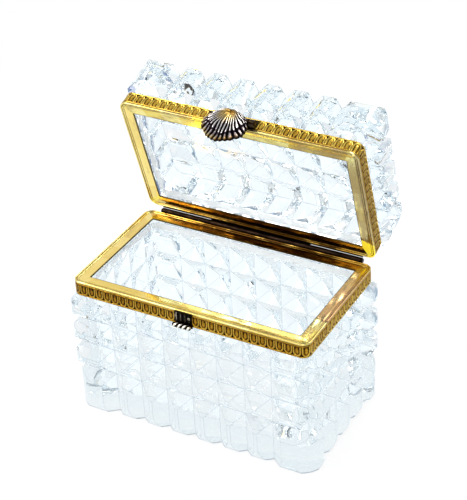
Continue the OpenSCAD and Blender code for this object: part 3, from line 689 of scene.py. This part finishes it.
def band_profile(sizes):
    """The strip behind the ornament, with two fine beads above it and a round bead along its free edge. Its ground
    and edges are marked not clean, for dirt and painted shade.
    """
    ground = -sizes.frieze_sink / MM
    top = -RIM_T / MM
    fine_r = 0.32
    lower_r = sizes.bead_h / 2
    return (
        flat_points((-1, top), (-0.35, top), clean_unshaded=0.1)
        + arc((-fine_r * MM, (top - 0.15 - fine_r) * MM), fine_r * MM, 110, -100, 8, 0.75)
        + flat_points((ground - 0.05, top - FINE_BEADS_H / MM), clean_unshaded=0.0)
        + flat_points((ground, (2 * lower_r - BAND_H) / MM + 0.1), clean_unshaded=0.0)
        + arc((-lower_r, -BAND_H + lower_r), lower_r, 110, -20, 6, 0.75)
        + arc((-lower_r, -BAND_H + lower_r), lower_r, -45, -90, 3, 0.0)
        + flat_points((-1, -BAND_H / MM), clean_unshaded=0.0)
    )


def cement_profile(sizes):
    """The plaster bed: over the neck's top, then down between the neck and the band."""
    bed, sheet, clear, under_flange = 0.45, 1.0, 0.03, 0.5
    top = -RIM_T / MM - clear
    under = -RIM_T / MM - bed + clear
    inner = -sizes.flange_w / MM + under_flange
    low = -BAND_H / MM
    neck = -sheet - bed + 2 * clear
    return flat_points(
        (inner, under), (inner, top), (-sheet - clear, top), (-sheet - clear, low), (neck, low), (neck, under)
    )


class CASKET_OT_frames(bpy.types.Operator):
    """Form the flanges and the bands of the two brass frames"""

    bl_idname = "casket.frames"
    bl_label = "Brass frames"

    def execute(self, context):
        sizes = context.scene.casket_sizes
        colours = context.scene.casket_colours
        stamped = stamped_gilt(colours)
        bed = plaster()
        for body, joint_at in JOINTS.items():
            gilt = gilt_flange(colours, body, joint_at)
            for part, profile, material, slot in (
                ("rim", rim_profile(sizes), gilt, "gilt_brass"),
                ("band", band_profile(sizes), stamped, "stamped_brass"),
                ("cement", cement_profile(sizes), bed, "cement"),
            ):
                node = f"{body}_{part}"
                mesh = frame_ring(profile, body, node, sizes.corner_r)
                mesh.transform(PLACES[body])
                finish_piece(mesh, node + "_formed", body, material, [node], smooth=32)
        return {"FINISHED"}


# ---- Stamped ornament: eggs and darts ----


def ridge(distance, half_width):
    """A round ridge, 1 on its line and 0 at half_width from it."""
    share = min(abs(distance) / half_width, 1.0)
    return math.sqrt(1 - share * share)


# The egg in shares of its motif: its middle, half width, and reach below and above the middle
EGG_MIDDLE, EGG_HALF_W, EGG_BELOW, EGG_ABOVE = 0.46, 0.42, 0.28, 0.62
# How high the egg stands against the shell round it
EGG_LEVEL = 0.72
# The shell round it: how far out its sides and its foot lie, and the half width of its ridge
SHELL_SIDE, SHELL_FOOT, SHELL_RIDGE = 0.76, 0.42, 0.27


def egg_relief(u, v):
    """Height of the ornament from 0 to 1. u runs from -1 to 1 over one motif, v from 0 at the free edge to 1."""
    side = abs(u)
    low = max(0.0, EGG_MIDDLE - v)
    # the egg, blunt below its middle and long above it
    rise = (v - EGG_MIDDLE) / (EGG_BELOW if low else EGG_ABOVE)
    egg = math.sqrt(max(0.0, 1 - (u / EGG_HALF_W) ** 2 - rise**2))
    # the shell round it, a U-shaped ridge whose shanks meet the next one's in a fine line
    shell = ridge(math.hypot(side / SHELL_SIDE, low / SHELL_FOOT) - 1, SHELL_RIDGE)
    line = 1 - 0.5 * ridge(1 - side, 0.10)
    fillet = ridge(v - 1.0, 0.05)
    return max(egg * EGG_LEVEL, shell * line, fillet)


def egg_motif(pitch, height, relief, across=36, up=24):
    """One motif as a sheet: x along the band, y up, z outwards, with a skirt along both edges."""
    ground, sink = 0.03 * MM, -0.15 * MM
    points = []
    levels = []
    rows = [(0.0, True)] + [(row / up, False) for row in range(up + 1)] + [(1.0, True)]
    for v, skirt in rows:
        for column in range(across + 1):
            u = 2 * column / across - 1
            level = 0.0 if skirt else egg_relief(u, v)
            points.append((u * pitch / 2, v * height, sink if skirt else ground + level * relief))
            levels.append(level)
    mesh = mesh_from(points, quads(len(rows), across + 1), "egg_and_dart")
    set_values(mesh, "relief", levels)
    return mesh


def frieze_tree():
    """Repeats a motif along a strip and wraps the strip round a rectangle with round corners."""
    tree = bpy.data.node_groups.new("stamped_frieze", "GeometryNodeTree")
    for name, kind in (
        ("Geometry", "Geometry"), ("Motif", "Object"), ("Count", "Int"), ("Length", "Float"),
        ("Depth", "Float"), ("Corner", "Float"), ("Material", "Material"),
    ):
        tree.interface.new_socket(name, in_out="INPUT", socket_type="NodeSocket" + kind)
    tree.interface.new_socket("Geometry", in_out="OUTPUT", socket_type="NodeSocketGeometry")
    node = partial(add_node, tree)
    given = node("NodeGroupInput").node.outputs

    # the path: a rounded rectangle, run anticlockwise
    path = node("GeometryNodeCurvePrimitiveQuadrilateral", Width=given["Length"], Height=given["Depth"])
    path = node("GeometryNodeFilletCurve", {"mode": "POLY"}, Curve=path, Radius=given["Corner"], Count=24)
    length = node("GeometryNodeCurveLength", Curve=path)
    pitch = node(MATH, {"operation": "DIVIDE"}, i0=length, i1=given["Count"])

    # the strip: one motif for each pitch, stretched to fit it
    line = node("GeometryNodeMeshLine", Count=given["Count"], Offset=node("ShaderNodeCombineXYZ", X=pitch))
    motif = node("GeometryNodeObjectInfo", output="Geometry", Object=given["Motif"])
    stretch = node("ShaderNodeCombineXYZ", X=pitch, Y=1.0, Z=1.0)
    strip = node("GeometryNodeInstanceOnPoints", Points=line, Instance=motif, Scale=stretch)
    strip = node("GeometryNodeRealizeInstances", Geometry=strip)

    # wrapped: x becomes the distance round the path, y the height, z the distance outwards
    at = node("ShaderNodeSeparateXYZ", Vector=node("GeometryNodeInputPosition")).node.outputs
    around = node(MATH, {"operation": "FLOORED_MODULO"}, i0=at["X"], i1=length)
    sample = node("GeometryNodeSampleCurve", {"mode": "LENGTH"}, Curves=path, Length=around).node.outputs
    outwards = node("ShaderNodeVectorMath", {"operation": "CROSS_PRODUCT"}, i0=sample["Tangent"], i1=(0.0, 0.0, 1.0))
    outwards = node("ShaderNodeVectorMath", {"operation": "SCALE"}, i0=outwards, Scale=at["Z"])
    place = node("ShaderNodeVectorMath", PLUS, i0=sample["Position"], i1=outwards)
    place = node("ShaderNodeVectorMath", PLUS, i0=place, i1=node("ShaderNodeCombineXYZ", Z=at["Y"]))
    wrapped = node("GeometryNodeSetPosition", Geometry=strip, Position=place)
    joined = node("GeometryNodeMergeByDistance", Geometry=wrapped, Distance=0.01 * MM)
    realised = node("GeometryNodeRealizeInstances", Geometry=joined)
    dressed = node("GeometryNodeSetMaterial", Geometry=realised, Material=given["Material"])
    node("NodeGroupOutput", Geometry=dressed)
    return tree


def run_tree(tree, values, name):
    """Runs a tree on an empty mesh and returns what it makes as a plain mesh."""
    holder = add_object(name + "_holder", bpy.data.meshes.new(name + "_holder"))
    modifier = holder.modifiers.new(name, "NODES")
    modifier.node_group = tree
    identifiers = {item.name: item.identifier for item in tree.interface.items_tree if item.in_out == "INPUT"}
    for key, value in values.items():
        modifier[identifiers[key]] = value
    bpy.context.view_layer.update()
    graph = bpy.context.evaluated_depsgraph_get()
    mesh = bpy.data.meshes.new_from_object(holder.evaluated_get(graph), depsgraph=graph)
    mesh.name = name
    holder.modifiers.remove(modifier)
    bpy.data.objects.remove(holder)
    return mesh


def close_strip(work):
    """Joins the strip's two skirts behind it, so that it is a closed ring."""
    bmesh.ops.bridge_loops(work, edges=[edge for edge in work.edges if edge.is_boundary])
    face_outwards(work)


def side_tarnish(body, point):
    """Tarnish at a point of the frieze, before it is put in its place."""
    if HALF_LEN - abs(point.x) < HALF_DEP - abs(point.y):
        side = "right" if point.x > 0 else "left"
    else:
        side = "back" if (point.y > 0) == (body == "base") else "front"
    return BAND_TARNISH[body][side]


class CASKET_OT_friezes(bpy.types.Operator):
    """Stamp the egg-and-dart ornament round both frames"""

    bl_idname = "casket.friezes"
    bl_label = "Friezes"

    def execute(self, context):
        sizes = context.scene.casket_sizes
        material = bpy.data.materials["stamped_gilt_brass"]
        ground = -sizes.frieze_sink
        height = BAND_H - RIM_T - FINE_BEADS_H - sizes.bead_h
        motif = add_object("egg_and_dart", egg_motif(1.0, height, sizes.relief))
        tree = frieze_tree()
        values = {
            "Motif": motif, "Count": sizes.motifs, "Length": 2 * (HALF_LEN + ground),
            "Depth": 2 * (HALF_DEP + ground), "Corner": sizes.corner_r + ground, "Material": material,
        }
        for body in ("base", "lid"):
            mesh = run_tree(tree, values, body + "_frieze")
            edit_mesh(mesh, close_strip)
            set_values(mesh, "tarnish", [side_tarnish(body, vertex.co) for vertex in mesh.vertices])
            mesh.transform(Matrix.Translation((0, 0, -BAND_H + sizes.bead_h)))
            mesh.transform(PLACES[body])
            finish_piece(mesh, body + "_frieze", body, material, smooth=50)
        bpy.data.objects.remove(motif)
        return {"FINISHED"}


# ---- Scallop shell ----


class ShellShape:
    """The scallop in its own plane: x across, z up from the crest, y towards its back."""

    # How far the crest lies below the shell's top
    CREST_DOWN = 2.4 * MM
    # The ribs spread this far to both sides of straight down, and then fade out
    FAN = math.radians(132)
    FADE = math.radians(20)
    # How far above the crest the ribs' lines would meet
    LIFT = 2.5 * MM
    # Thickness at the lip, and the least anywhere
    LIP_T = 1.0 * MM
    LEAST_T = 0.5 * MM
    # How deep the lip is notched between two ribs
    NOTCH = 0.7 * MM
    # Slow waves of the lip's outline: half depth, waves round it, turn
    RUFFLES = ((0.4 * MM, 7, 0.6), (0.15 * MM, 17, 0.0))
    # How far the lip's under-layer lies back, and how far its end flares forwards
    LAYER_DROP = 0.5 * MM
    FLARE = 1.3 * MM

    def __init__(self, low, high, ribs, rib_h):
        self.half_w, self.half_h = (high.x - low.x) / 2, (high.z - low.z) / 2
        self.middle, self.back = (high.x + low.x) / 2, high.y
        self.swell = high.y - low.y - 0.6 * rib_h
        self.crest_z = high.z - self.CREST_DOWN
        self.drop = self.half_h - self.CREST_DOWN
        self.ribs, self.rib_h = ribs, rib_h

    def fade(self, angle):
        over = abs(angle) - self.FAN
        return 1.0 if over < 0 else max(0.0, 1 - over / self.FADE)

    def rib(self, angle, share):
        """1 on a rib's ridge and 0 in a furrow; the ribs leave the crest side by side and sweep outwards."""
        radius = self.reach(angle) * share
        lean = math.atan2(radius * math.sin(angle), radius * math.cos(angle) + self.LIFT)
        # cast ribs waver a little
        lean += 0.03 * math.sin(5 * angle + 7 * share) + 0.012 * math.sin(11 * angle - 9 * share)
        return abs(math.cos(lean * self.ribs * math.pi / (2 * self.FAN))) ** 1.2

    def reach(self, angle):
        """Distance from the crest to the plain elliptic lip."""
        k = (math.sin(angle) / self.half_w) ** 2 + (math.cos(angle) / self.half_h) ** 2
        m = self.drop * math.cos(angle) / self.half_h**2
        return (m + math.sqrt(m * m - k * ((self.drop / self.half_h) ** 2 - 1))) / k

    def frill(self, angle, share):
        """How far a place lies out on the ruffled under-layer of the lip, from 0 to 1, and the painted shadow along
        its seam.
        """
        wave = 0.04 * math.sin(5 * angle + 1) + 0.03 * math.sin(13 * angle)
        start = 0.80 - 0.09 * max(0.0, math.cos(angle + math.radians(50))) + wave
        layer = min(1.0, max(0.0, (share - start) / 0.05))
        seam_shadow = max(0.0, 1 - abs(share - start - 0.03) / 0.04)
        return layer, seam_shadow

    def point(self, angle, share):
        """A place on the shell, and how bright it is rubbed."""
        rib = self.rib(angle, share)
        fade = self.fade(angle)
        layer, seam_shadow = self.frill(angle, share)
        notch = self.NOTCH * (1 - rib) * fade * share**8
        ruffle = sum(half * (1 - math.cos(waves * angle + turn)) for half, waves, turn in self.RUFFLES)
        radius = self.reach(angle) * share - notch - ruffle * share**4
        body = 1 - (abs(share - 0.36) / 0.64) ** 2.2
        height = self.LIP_T + (self.swell - self.LIP_T) * body
        height += self.rib_h * min(1.0, share * 1.8) * (rib - 0.45) * fade
        height -= self.LAYER_DROP * layer * fade
        height += self.FLARE * max(0.0, (share - 0.8) / 0.2) ** 1.5 * fade
        x = self.middle + radius * math.sin(angle)
        z = self.crest_z - radius * math.cos(angle)
        # painted shadow along the seam, and painted shade a little darker on the under-layer
        level = rib**1.2 * (1 - 0.55 * seam_shadow) * (1 - 0.15 * layer) * fade
        return (x, self.back - max(height, self.LEAST_T), z), level


def gilt_share(shape, angle, share):
    """Gilding left on the crest, and on the lip's lower left where fingers don't reach."""
    crest = max(0.0, 1 - share / 0.5) if abs(angle) < shape.FAN else min(1.0, 1.5 - share)
    lip = max(0.0, (share - 0.86) / 0.14) * max(0.0, math.cos(angle - math.radians(-38)))
    return min(1.0, crest * 1.9 + 0.7 * lip)


def shell_mesh(shape, around=640, outwards=48):
    """Rings of points from the crest out to the lip, and a flat back."""
    points = []
    ridges = []
    crests = []
    for ring in range(1, outwards + 1):
        share = ring / outwards
        for step in range(around):
            angle = 2 * math.pi * step / around
            angle = angle - 2 * math.pi if angle > math.pi else angle
            place, level = shape.point(angle, share)
            points.append(place)
            ridges.append(level * min(1.0, 0.7 + share))
            crests.append(gilt_share(shape, angle, share))
    # the flat back has one loop, behind the lip, and both sides close on a point at the crest
    centre, _ = shape.point(0.0, 0.0)
    first_back = len(points)
    points += [(x, shape.back, z) for x, _, z in points[-around:]]
    crown = len(points)
    points += [centre, (centre[0], shape.back, centre[2])]
    ridges += [0.0] * (around + 2)
    crests += [0.0] * around + [1.0, 0.0]
    faces = quads(outwards + 1, around, ring=True)
    for step in range(around):
        after = (step + 1) % around
        faces.append((crown, after, step))
        faces.append((crown + 1, first_back + step, first_back + after))
    return closed_mesh(points, faces, "scallop", relief=ridges, crest=crests)


class CASKET_OT_shell(bpy.types.Operator):
    """Cast the scallop shell that dresses the clasp"""

    bl_idname = "casket.shell"
    bl_label = "Scallop shell"

    def execute(self, context):
        sizes = context.scene.casket_sizes
        mesh = shell_mesh(ShellShape(*closed_box("clasp_shell"), sizes.shell_ribs, sizes.rib_h))
        mesh.transform(LID_UP)
        material = shell_bronze(context.scene.casket_colours)
        finish_piece(mesh, "scallop_shell", "clasp", material, ["clasp_shell"], smooth=40)
        return {"FINISHED"}


# ---- Catch ----


def catch_plate_mesh(low, high):
    """The reeded face of the catch plate; it stands a little narrower than its bed. Painted highlights lie on the
    reeds' crests, fading along the plate.
    """
    reeds, across = 4, 64
    edge, foot, brow, depth = 0.8 * MM, 0.3 * MM, 0.5 * MM, 0.25 * MM
    points = []
    levels = []
    for column in range(across + 1):
        share = column / across
        x = low.x + edge + (high.x - low.x - edge) * share
        reed = abs(math.sin(math.pi * reeds * share)) if 0 < column < across else 0.0
        # painted highlights on the reeds' crests, fading along the plate
        reed_highlight = reed**8 * (0.85 - 0.5 * share)
        raised = low.y + depth * (1 - reed)
        points += [
            (x, low.y + depth, low.z), (x, raised, low.z + foot), (x, raised, high.z - brow),
            (x, low.y + depth, high.z), (x, high.y, high.z), (x, high.y, low.z),
        ]
        levels += [0.1, reed_highlight, reed_highlight, 0.1, 0.0, 0.0]
    loop = len(points) // (across + 1)
    faces = quads(across + 1, loop, ring=True) + end_caps(across + 1, loop)
    return closed_mesh(points, faces, "catch_plate_reeded", relief=levels)


def scroll_bar_mesh(low, high):
    """A bar of slanting oval beads, like a short length of rope."""
    beads, along, around = 4, 100, 36
    # the share of its radius that the bar has between two beads
    furrow = 0.62
    radius = (high.z - low.z) / 2
    middle_y = low.y + radius
    middle_z = (high.z + low.z) / 2
    points = []
    levels = []
    for step in range(along + 1):
        share = step / along
        taper = max(0.2, math.sqrt(max(0.0, 1 - (2 * share - 1) ** 14)))
        for turn in range(around):
            angle = 2 * math.pi * turn / around
            bead = abs(math.sin(math.pi * beads * share - angle))
            r = radius * (furrow + (1 - furrow) * math.sqrt(bead)) * taper
            x = low.x + (high.x - low.x) * share
            points.append((x, middle_y - r * math.cos(angle), middle_z + r * math.sin(angle)))
            # painted highlights on the beads' crowns, with patina between them
            levels.append(bead**1.5)
    faces = quads(along + 1, around, ring=True) + end_caps(along + 1, around)
    return closed_mesh(points, faces, "scroll_bar", relief=levels)


class CASKET_OT_catch(bpy.types.Operator):
    """Make the catch: a reeded plate over a scrolled bar"""

    bl_idname = "casket.catch"
    bl_label = "Catch"

    def execute(self, context):
        metal = catch_metal()
        for node, build in (("catch_plate", catch_plate_mesh), ("catch_bar", scroll_bar_mesh)):
            mesh = build(*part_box(node))
            finish_piece(mesh, node + "_worked", "base", metal, [node], smooth=40)
        return {"FINISHED"}


# ---- Fittings that keep their construction's shape ----

LEAF_EDGE_T = 0.4 * MM
# What the leaf's edge leaves free of the base's knuckles, and beside its own
KNUCKLE_CLEAR = 0.2 * MM
SIDE_CLEAR = 0.3 * MM
# How far the edge laps over the leaf's plate
LAP = 0.05 * MM
# Their metals: name, colour in the recesses, rubbed colour, nodes
FITTINGS = (
    ("blackened_clasp_brass", "#0F0B08", "#4A3A28", ("clasp_bracket", "clasp_pin", "clasp_lever", "clasp_hook")),
    ("rubbed_catch_brass", "#2A2018", "#D9CBB0", ("catch_rivets", "clasp_rivets", "shell_rivet")),
    ("rivet_brass", "#6B4718", "#D8AE4E", ("hinge_base_rivets", "hinge_lid_rivets")),
)


def dress_nodes(material, nodes):
    for node in nodes:
        slots = NODES[node].data.materials
        slots.clear()
        slots.append(material)


def hinge_shadow_edge_mesh():
    """The lid leaf's edge between its own knuckle and its ends, which stops just short of the base's knuckles. Dark,
    it also stands as painted shadow in the gap between the barrel and the lid's frame.
    """
    points = closed_points("hinge_lid_leaf")
    barrel_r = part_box("hinge_base_leaf")[1].y - HINGE_POINT.y
    inner = max(p.x for p in points if p.y > HINGE_POINT.y) + SIDE_CLEAR
    plate = [p for p in points if p.x > inner]
    outer = max(p.x for p in plate)
    front = max(p.y for p in plate) - LAP
    low = min(p.z for p in plate)
    back = HINGE_POINT.y - math.sqrt((barrel_r + KNUCKLE_CLEAR) ** 2 - (low - HINGE_POINT.z) ** 2)
    shape = Matrix.Diagonal((outer - inner, back - front, LEAF_EDGE_T, 1.0))
    work = bmesh.new()
    for side in (-1, 1):
        middle = (side * (inner + outer) / 2, (front + back) / 2, low + LEAF_EDGE_T / 2)
        bmesh.ops.create_cube(work, size=1.0, matrix=Matrix.Translation(middle) @ shape)
    mesh = bpy.data.meshes.new("hinge_shadow_edge")
    work.to_mesh(mesh)
    work.free()
    return mesh


class CASKET_OT_fittings(bpy.types.Operator):
    """Give the hinge, the catch and the clasp's works their metals"""

    bl_idname = "casket.fittings"
    bl_label = "Hinge, catch and clasp"

    def execute(self, context):
        dark = aged_brass("aged_hinge_brass", context.scene.casket_colours.iron_dark, "#34261C")
        dress_nodes(dark, ("hinge_base_leaf", "hinge_lid_leaf", "hinge_pin"))
        dress_nodes(spring_wire(), ("clasp_spring",))
        for name, recess, rubbed, nodes in FITTINGS:
            dress_nodes(aged_brass(name, recess, rubbed), nodes)
        # a dark strip by the hinge: the lid leaf's edge, and painted shadow in the gap there
        edge = hinge_shadow_edge_mesh()
        edge.transform(LID_UP)
        finish_piece(edge, "hinge_lid_leaf_edge", "lid", dark)
        return {"FINISHED"}


# ---- Stage ----

FLOOR_HALF = 1.5
# The casket's shadow fades into plain white paper between these distances from its middle
SHADOW_ENDS = (0.2, 0.5)
# Lamps: name, place, size in metres, watts; all shine at the casket
LAMPS = (
    ("key_lamp", (-0.55, -0.35, 0.75), (0.45, 0.45), 5.0),
    ("front_lamp", (0.35, -0.75, 0.35), (0.5, 0.35), 3.0),
    ("back_lamp", (0.15, 0.6, 0.8), (0.6, 0.3), 4.0),
)
LAMP_TARGET = Vector((0, 0, 0.08))
# Where the tent is open on the room: azimuth, elevation, half angle in degrees, colour
TENT_OPENINGS = (
    (30, 35, 24, "#8298AE"),
    (-60, 30, 20, "#9DB4C8"),
    (110, 25, 24, "#8294BC"),
    (200, 68, 14, "#A8BCCE"),
    (-104, 18, 14, "#8AA0B4"),
    (60, 75, 12, "#A0B4C6"),
    (-15, 58, 6, "#4A5662"),
    (78, 42, 6, "#505C6A"),
    (150, 38, 7, "#566270"),
    (-95, 48, 6, "#4E5A68"),
)
# How soft an opening's edge is, as a difference of cosines
SOFT_EDGE = 0.03
# The camera looks down on the casket from its right front: its bearing, height and roll in degrees
CAMERA_TURN = (30.31, 32.98, -3.12)
CAMERA_DISTANCE = 839.66 * MM
CAMERA_SHIFT = (5.88 * MM, 12.01 * MM)
CAMERA_LENS = 113.89


def area_lamp(name, place, size_m, watts):
    lamp = bpy.data.lights.new(name, "AREA")
    lamp.shape = "RECTANGLE"
    lamp.size, lamp.size_y = size_m
    lamp.energy = watts
    holder = add_object(name, lamp)
    holder.location = place
    holder.rotation_euler = (LAMP_TARGET - Vector(place)).to_track_quat("-Z", "Y").to_euler()


def paper_floor(colours):
    """White paper, overexposed to white for the eye; the crystal and the brass show more of its shading."""
    material, node = new_material("white_paper")
    path = node("ShaderNodeLightPath").node.outputs
    seen = path["Is Camera Ray"]
    away = node("ShaderNodeVectorMath", {"operation": "LENGTH"}, "Value", i0=node(COORDINATES, output="Object"))
    near, far = SHADOW_ENDS
    plain = node(STEP, SMOOTH, Value=away, From_Min=near, From_Max=far, To_Min=0.85, To_Max=1.0)
    direct = node(MATH, TIMES, i0=seen, i1=plain)
    bent = node(MATH, LARGER, i0=path["Is Glossy Ray"], i1=path["Is Transmission Ray"])
    share = node(MATH, LARGER, i0=direct, i1=node(MATH, TIMES, i0=bent, i1=0.8))
    matt = node("ShaderNodeBsdfDiffuse", Color=colours.paper)
    glow = node("ShaderNodeEmission", Color=node(MIX, COLOUR, MIXED, i0=seen, i6="#F4FBFE", i7=colours.paper))
    node(OUTPUT, Surface=node("ShaderNodeMixShader", i0=share, i1=matt, i2=glow))
    return material


def direction(azimuth, elevation):
    """Unit vector towards a place on the tent; azimuth 0 is in front of the casket and 90 to its right."""
    turn, rise = math.radians(azimuth), math.radians(elevation)
    return (math.sin(turn) * math.cos(rise), -math.cos(turn) * math.cos(rise), math.sin(rise))


def studio_world():
    """A white tent with grey-blue openings, which the crystal and the brass reflect."""
    world = bpy.data.worlds.new("white_tent")
    bpy.context.scene.world = world
    world.use_nodes = True
    tree = world.node_tree
    tree.nodes.clear()
    node = partial(add_node, tree)
    ray = node(COORDINATES, output="Generated")
    tent = "#FFFFFF"
    for azimuth, elevation, half_angle, colour in TENT_OPENINGS:
        towards = direction(azimuth, elevation)
        facing = node("ShaderNodeVectorMath", {"operation": "DOT_PRODUCT"}, "Value", i0=ray, i1=towards)
        edge = math.cos(math.radians(half_angle))
        inside = node(STEP, SMOOTH, Value=facing, From_Min=edge - SOFT_EDGE, From_Max=edge + SOFT_EDGE)
        tent = node(MIX, COLOUR, MIXED, i0=inside, i6=tent, i7=colour)
    seen = node("ShaderNodeBackground", Color="#FFFFFF", Strength=1.0)
    lit = node("ShaderNodeBackground", Color=tent, Strength=0.95)
    camera = node("ShaderNodeLightPath", output="Is Camera Ray")
    node("ShaderNodeOutputWorld", Surface=node("ShaderNodeMixShader", i0=camera, i1=lit, i2=seen))


def aim_camera():
    azimuth, height, roll = CAMERA_TURN
    back = Vector(direction(azimuth, height))
    level = (-back).cross(Vector((0, 0, 1))).normalized()
    steep = level.cross(-back)
    across, along = math.cos(math.radians(roll)), math.sin(math.radians(roll))
    right, up = across * level + along * steep, -along * level + across * steep
    place = back * CAMERA_DISTANCE + right * CAMERA_SHIFT[0] + up * CAMERA_SHIFT[1] + Vector((0, 0, JOINT_Z))
    camera = bpy.data.cameras.new("camera")
    camera.lens = CAMERA_LENS
    camera.sensor_width = 36.0
    camera.clip_start = 0.01
    holder = add_object("camera", camera)
    holder.matrix_world = Matrix.Translation(place) @ Matrix((right, up, back)).transposed().to_4x4()
    bpy.context.scene.camera = holder


class CASKET_OT_stage(bpy.types.Operator):
    """Set the floor, the lamps, the tent and the camera"""

    bl_idname = "casket.stage"
    bl_label = "Stage"

    def execute(self, context):
        corners = [(x * FLOOR_HALF, y * FLOOR_HALF, 0) for x, y in ((-1, -1), (1, -1), (1, 1), (-1, 1))]
        floor_mesh = mesh_from(corners, [(0, 1, 2, 3)], "floor")
        floor_mesh.materials.append(paper_floor(context.scene.casket_colours))
        floor = add_object("floor", floor_mesh)
        studio_world()
        for lamp in LAMPS:
            area_lamp(*lamp)
        aim_camera()
        scene = context.scene
        scene.view_settings.view_transform = "Standard"
        scene.cycles.max_bounces = 24
        scene.cycles.glossy_bounces = 12
        scene.cycles.transmission_bounces = 24
        return {"FINISHED"}


# ---- Panel and registration ----

STEPS = ("crystal", "frames", "friezes", "shell", "catch", "fittings", "stage")


class CASKET_PT_panel(bpy.types.Panel):
    """Lists the casket's pieces in the sidebar"""

    bl_idname = "CASKET_PT_panel"
    bl_label = "Casket"
    bl_space_type = "VIEW_3D"
    bl_region_type = "UI"
    bl_category = "Casket"

    def draw(self, context):
        for step in STEPS:
            self.layout.operator("casket." + step)
        for group in (context.scene.casket_sizes, context.scene.casket_colours):
            for name in group.bl_rna.properties.keys():
                if name not in ("rna_type", "name"):
                    self.layout.prop(group, name)


CLASSES = (
    CasketSizes, CasketColours, CASKET_OT_crystal, CASKET_OT_frames, CASKET_OT_friezes,
    CASKET_OT_shell, CASKET_OT_catch, CASKET_OT_fittings, CASKET_OT_stage, CASKET_PT_panel,
)


def register():
    for cls in CLASSES:
        bpy.utils.register_class(cls)
    bpy.types.Scene.casket_sizes = bpy.props.PointerProperty(type=CasketSizes)
    bpy.types.Scene.casket_colours = bpy.props.PointerProperty(type=CasketColours)


def unregister():
    del bpy.types.Scene.casket_colours
    del bpy.types.Scene.casket_sizes
    for cls in reversed(CLASSES):
        bpy.utils.unregister_class(cls)


def main():
    register()
    for step in STEPS:
        getattr(bpy.ops.casket, step)()


if __name__ == "__main__":
    main()
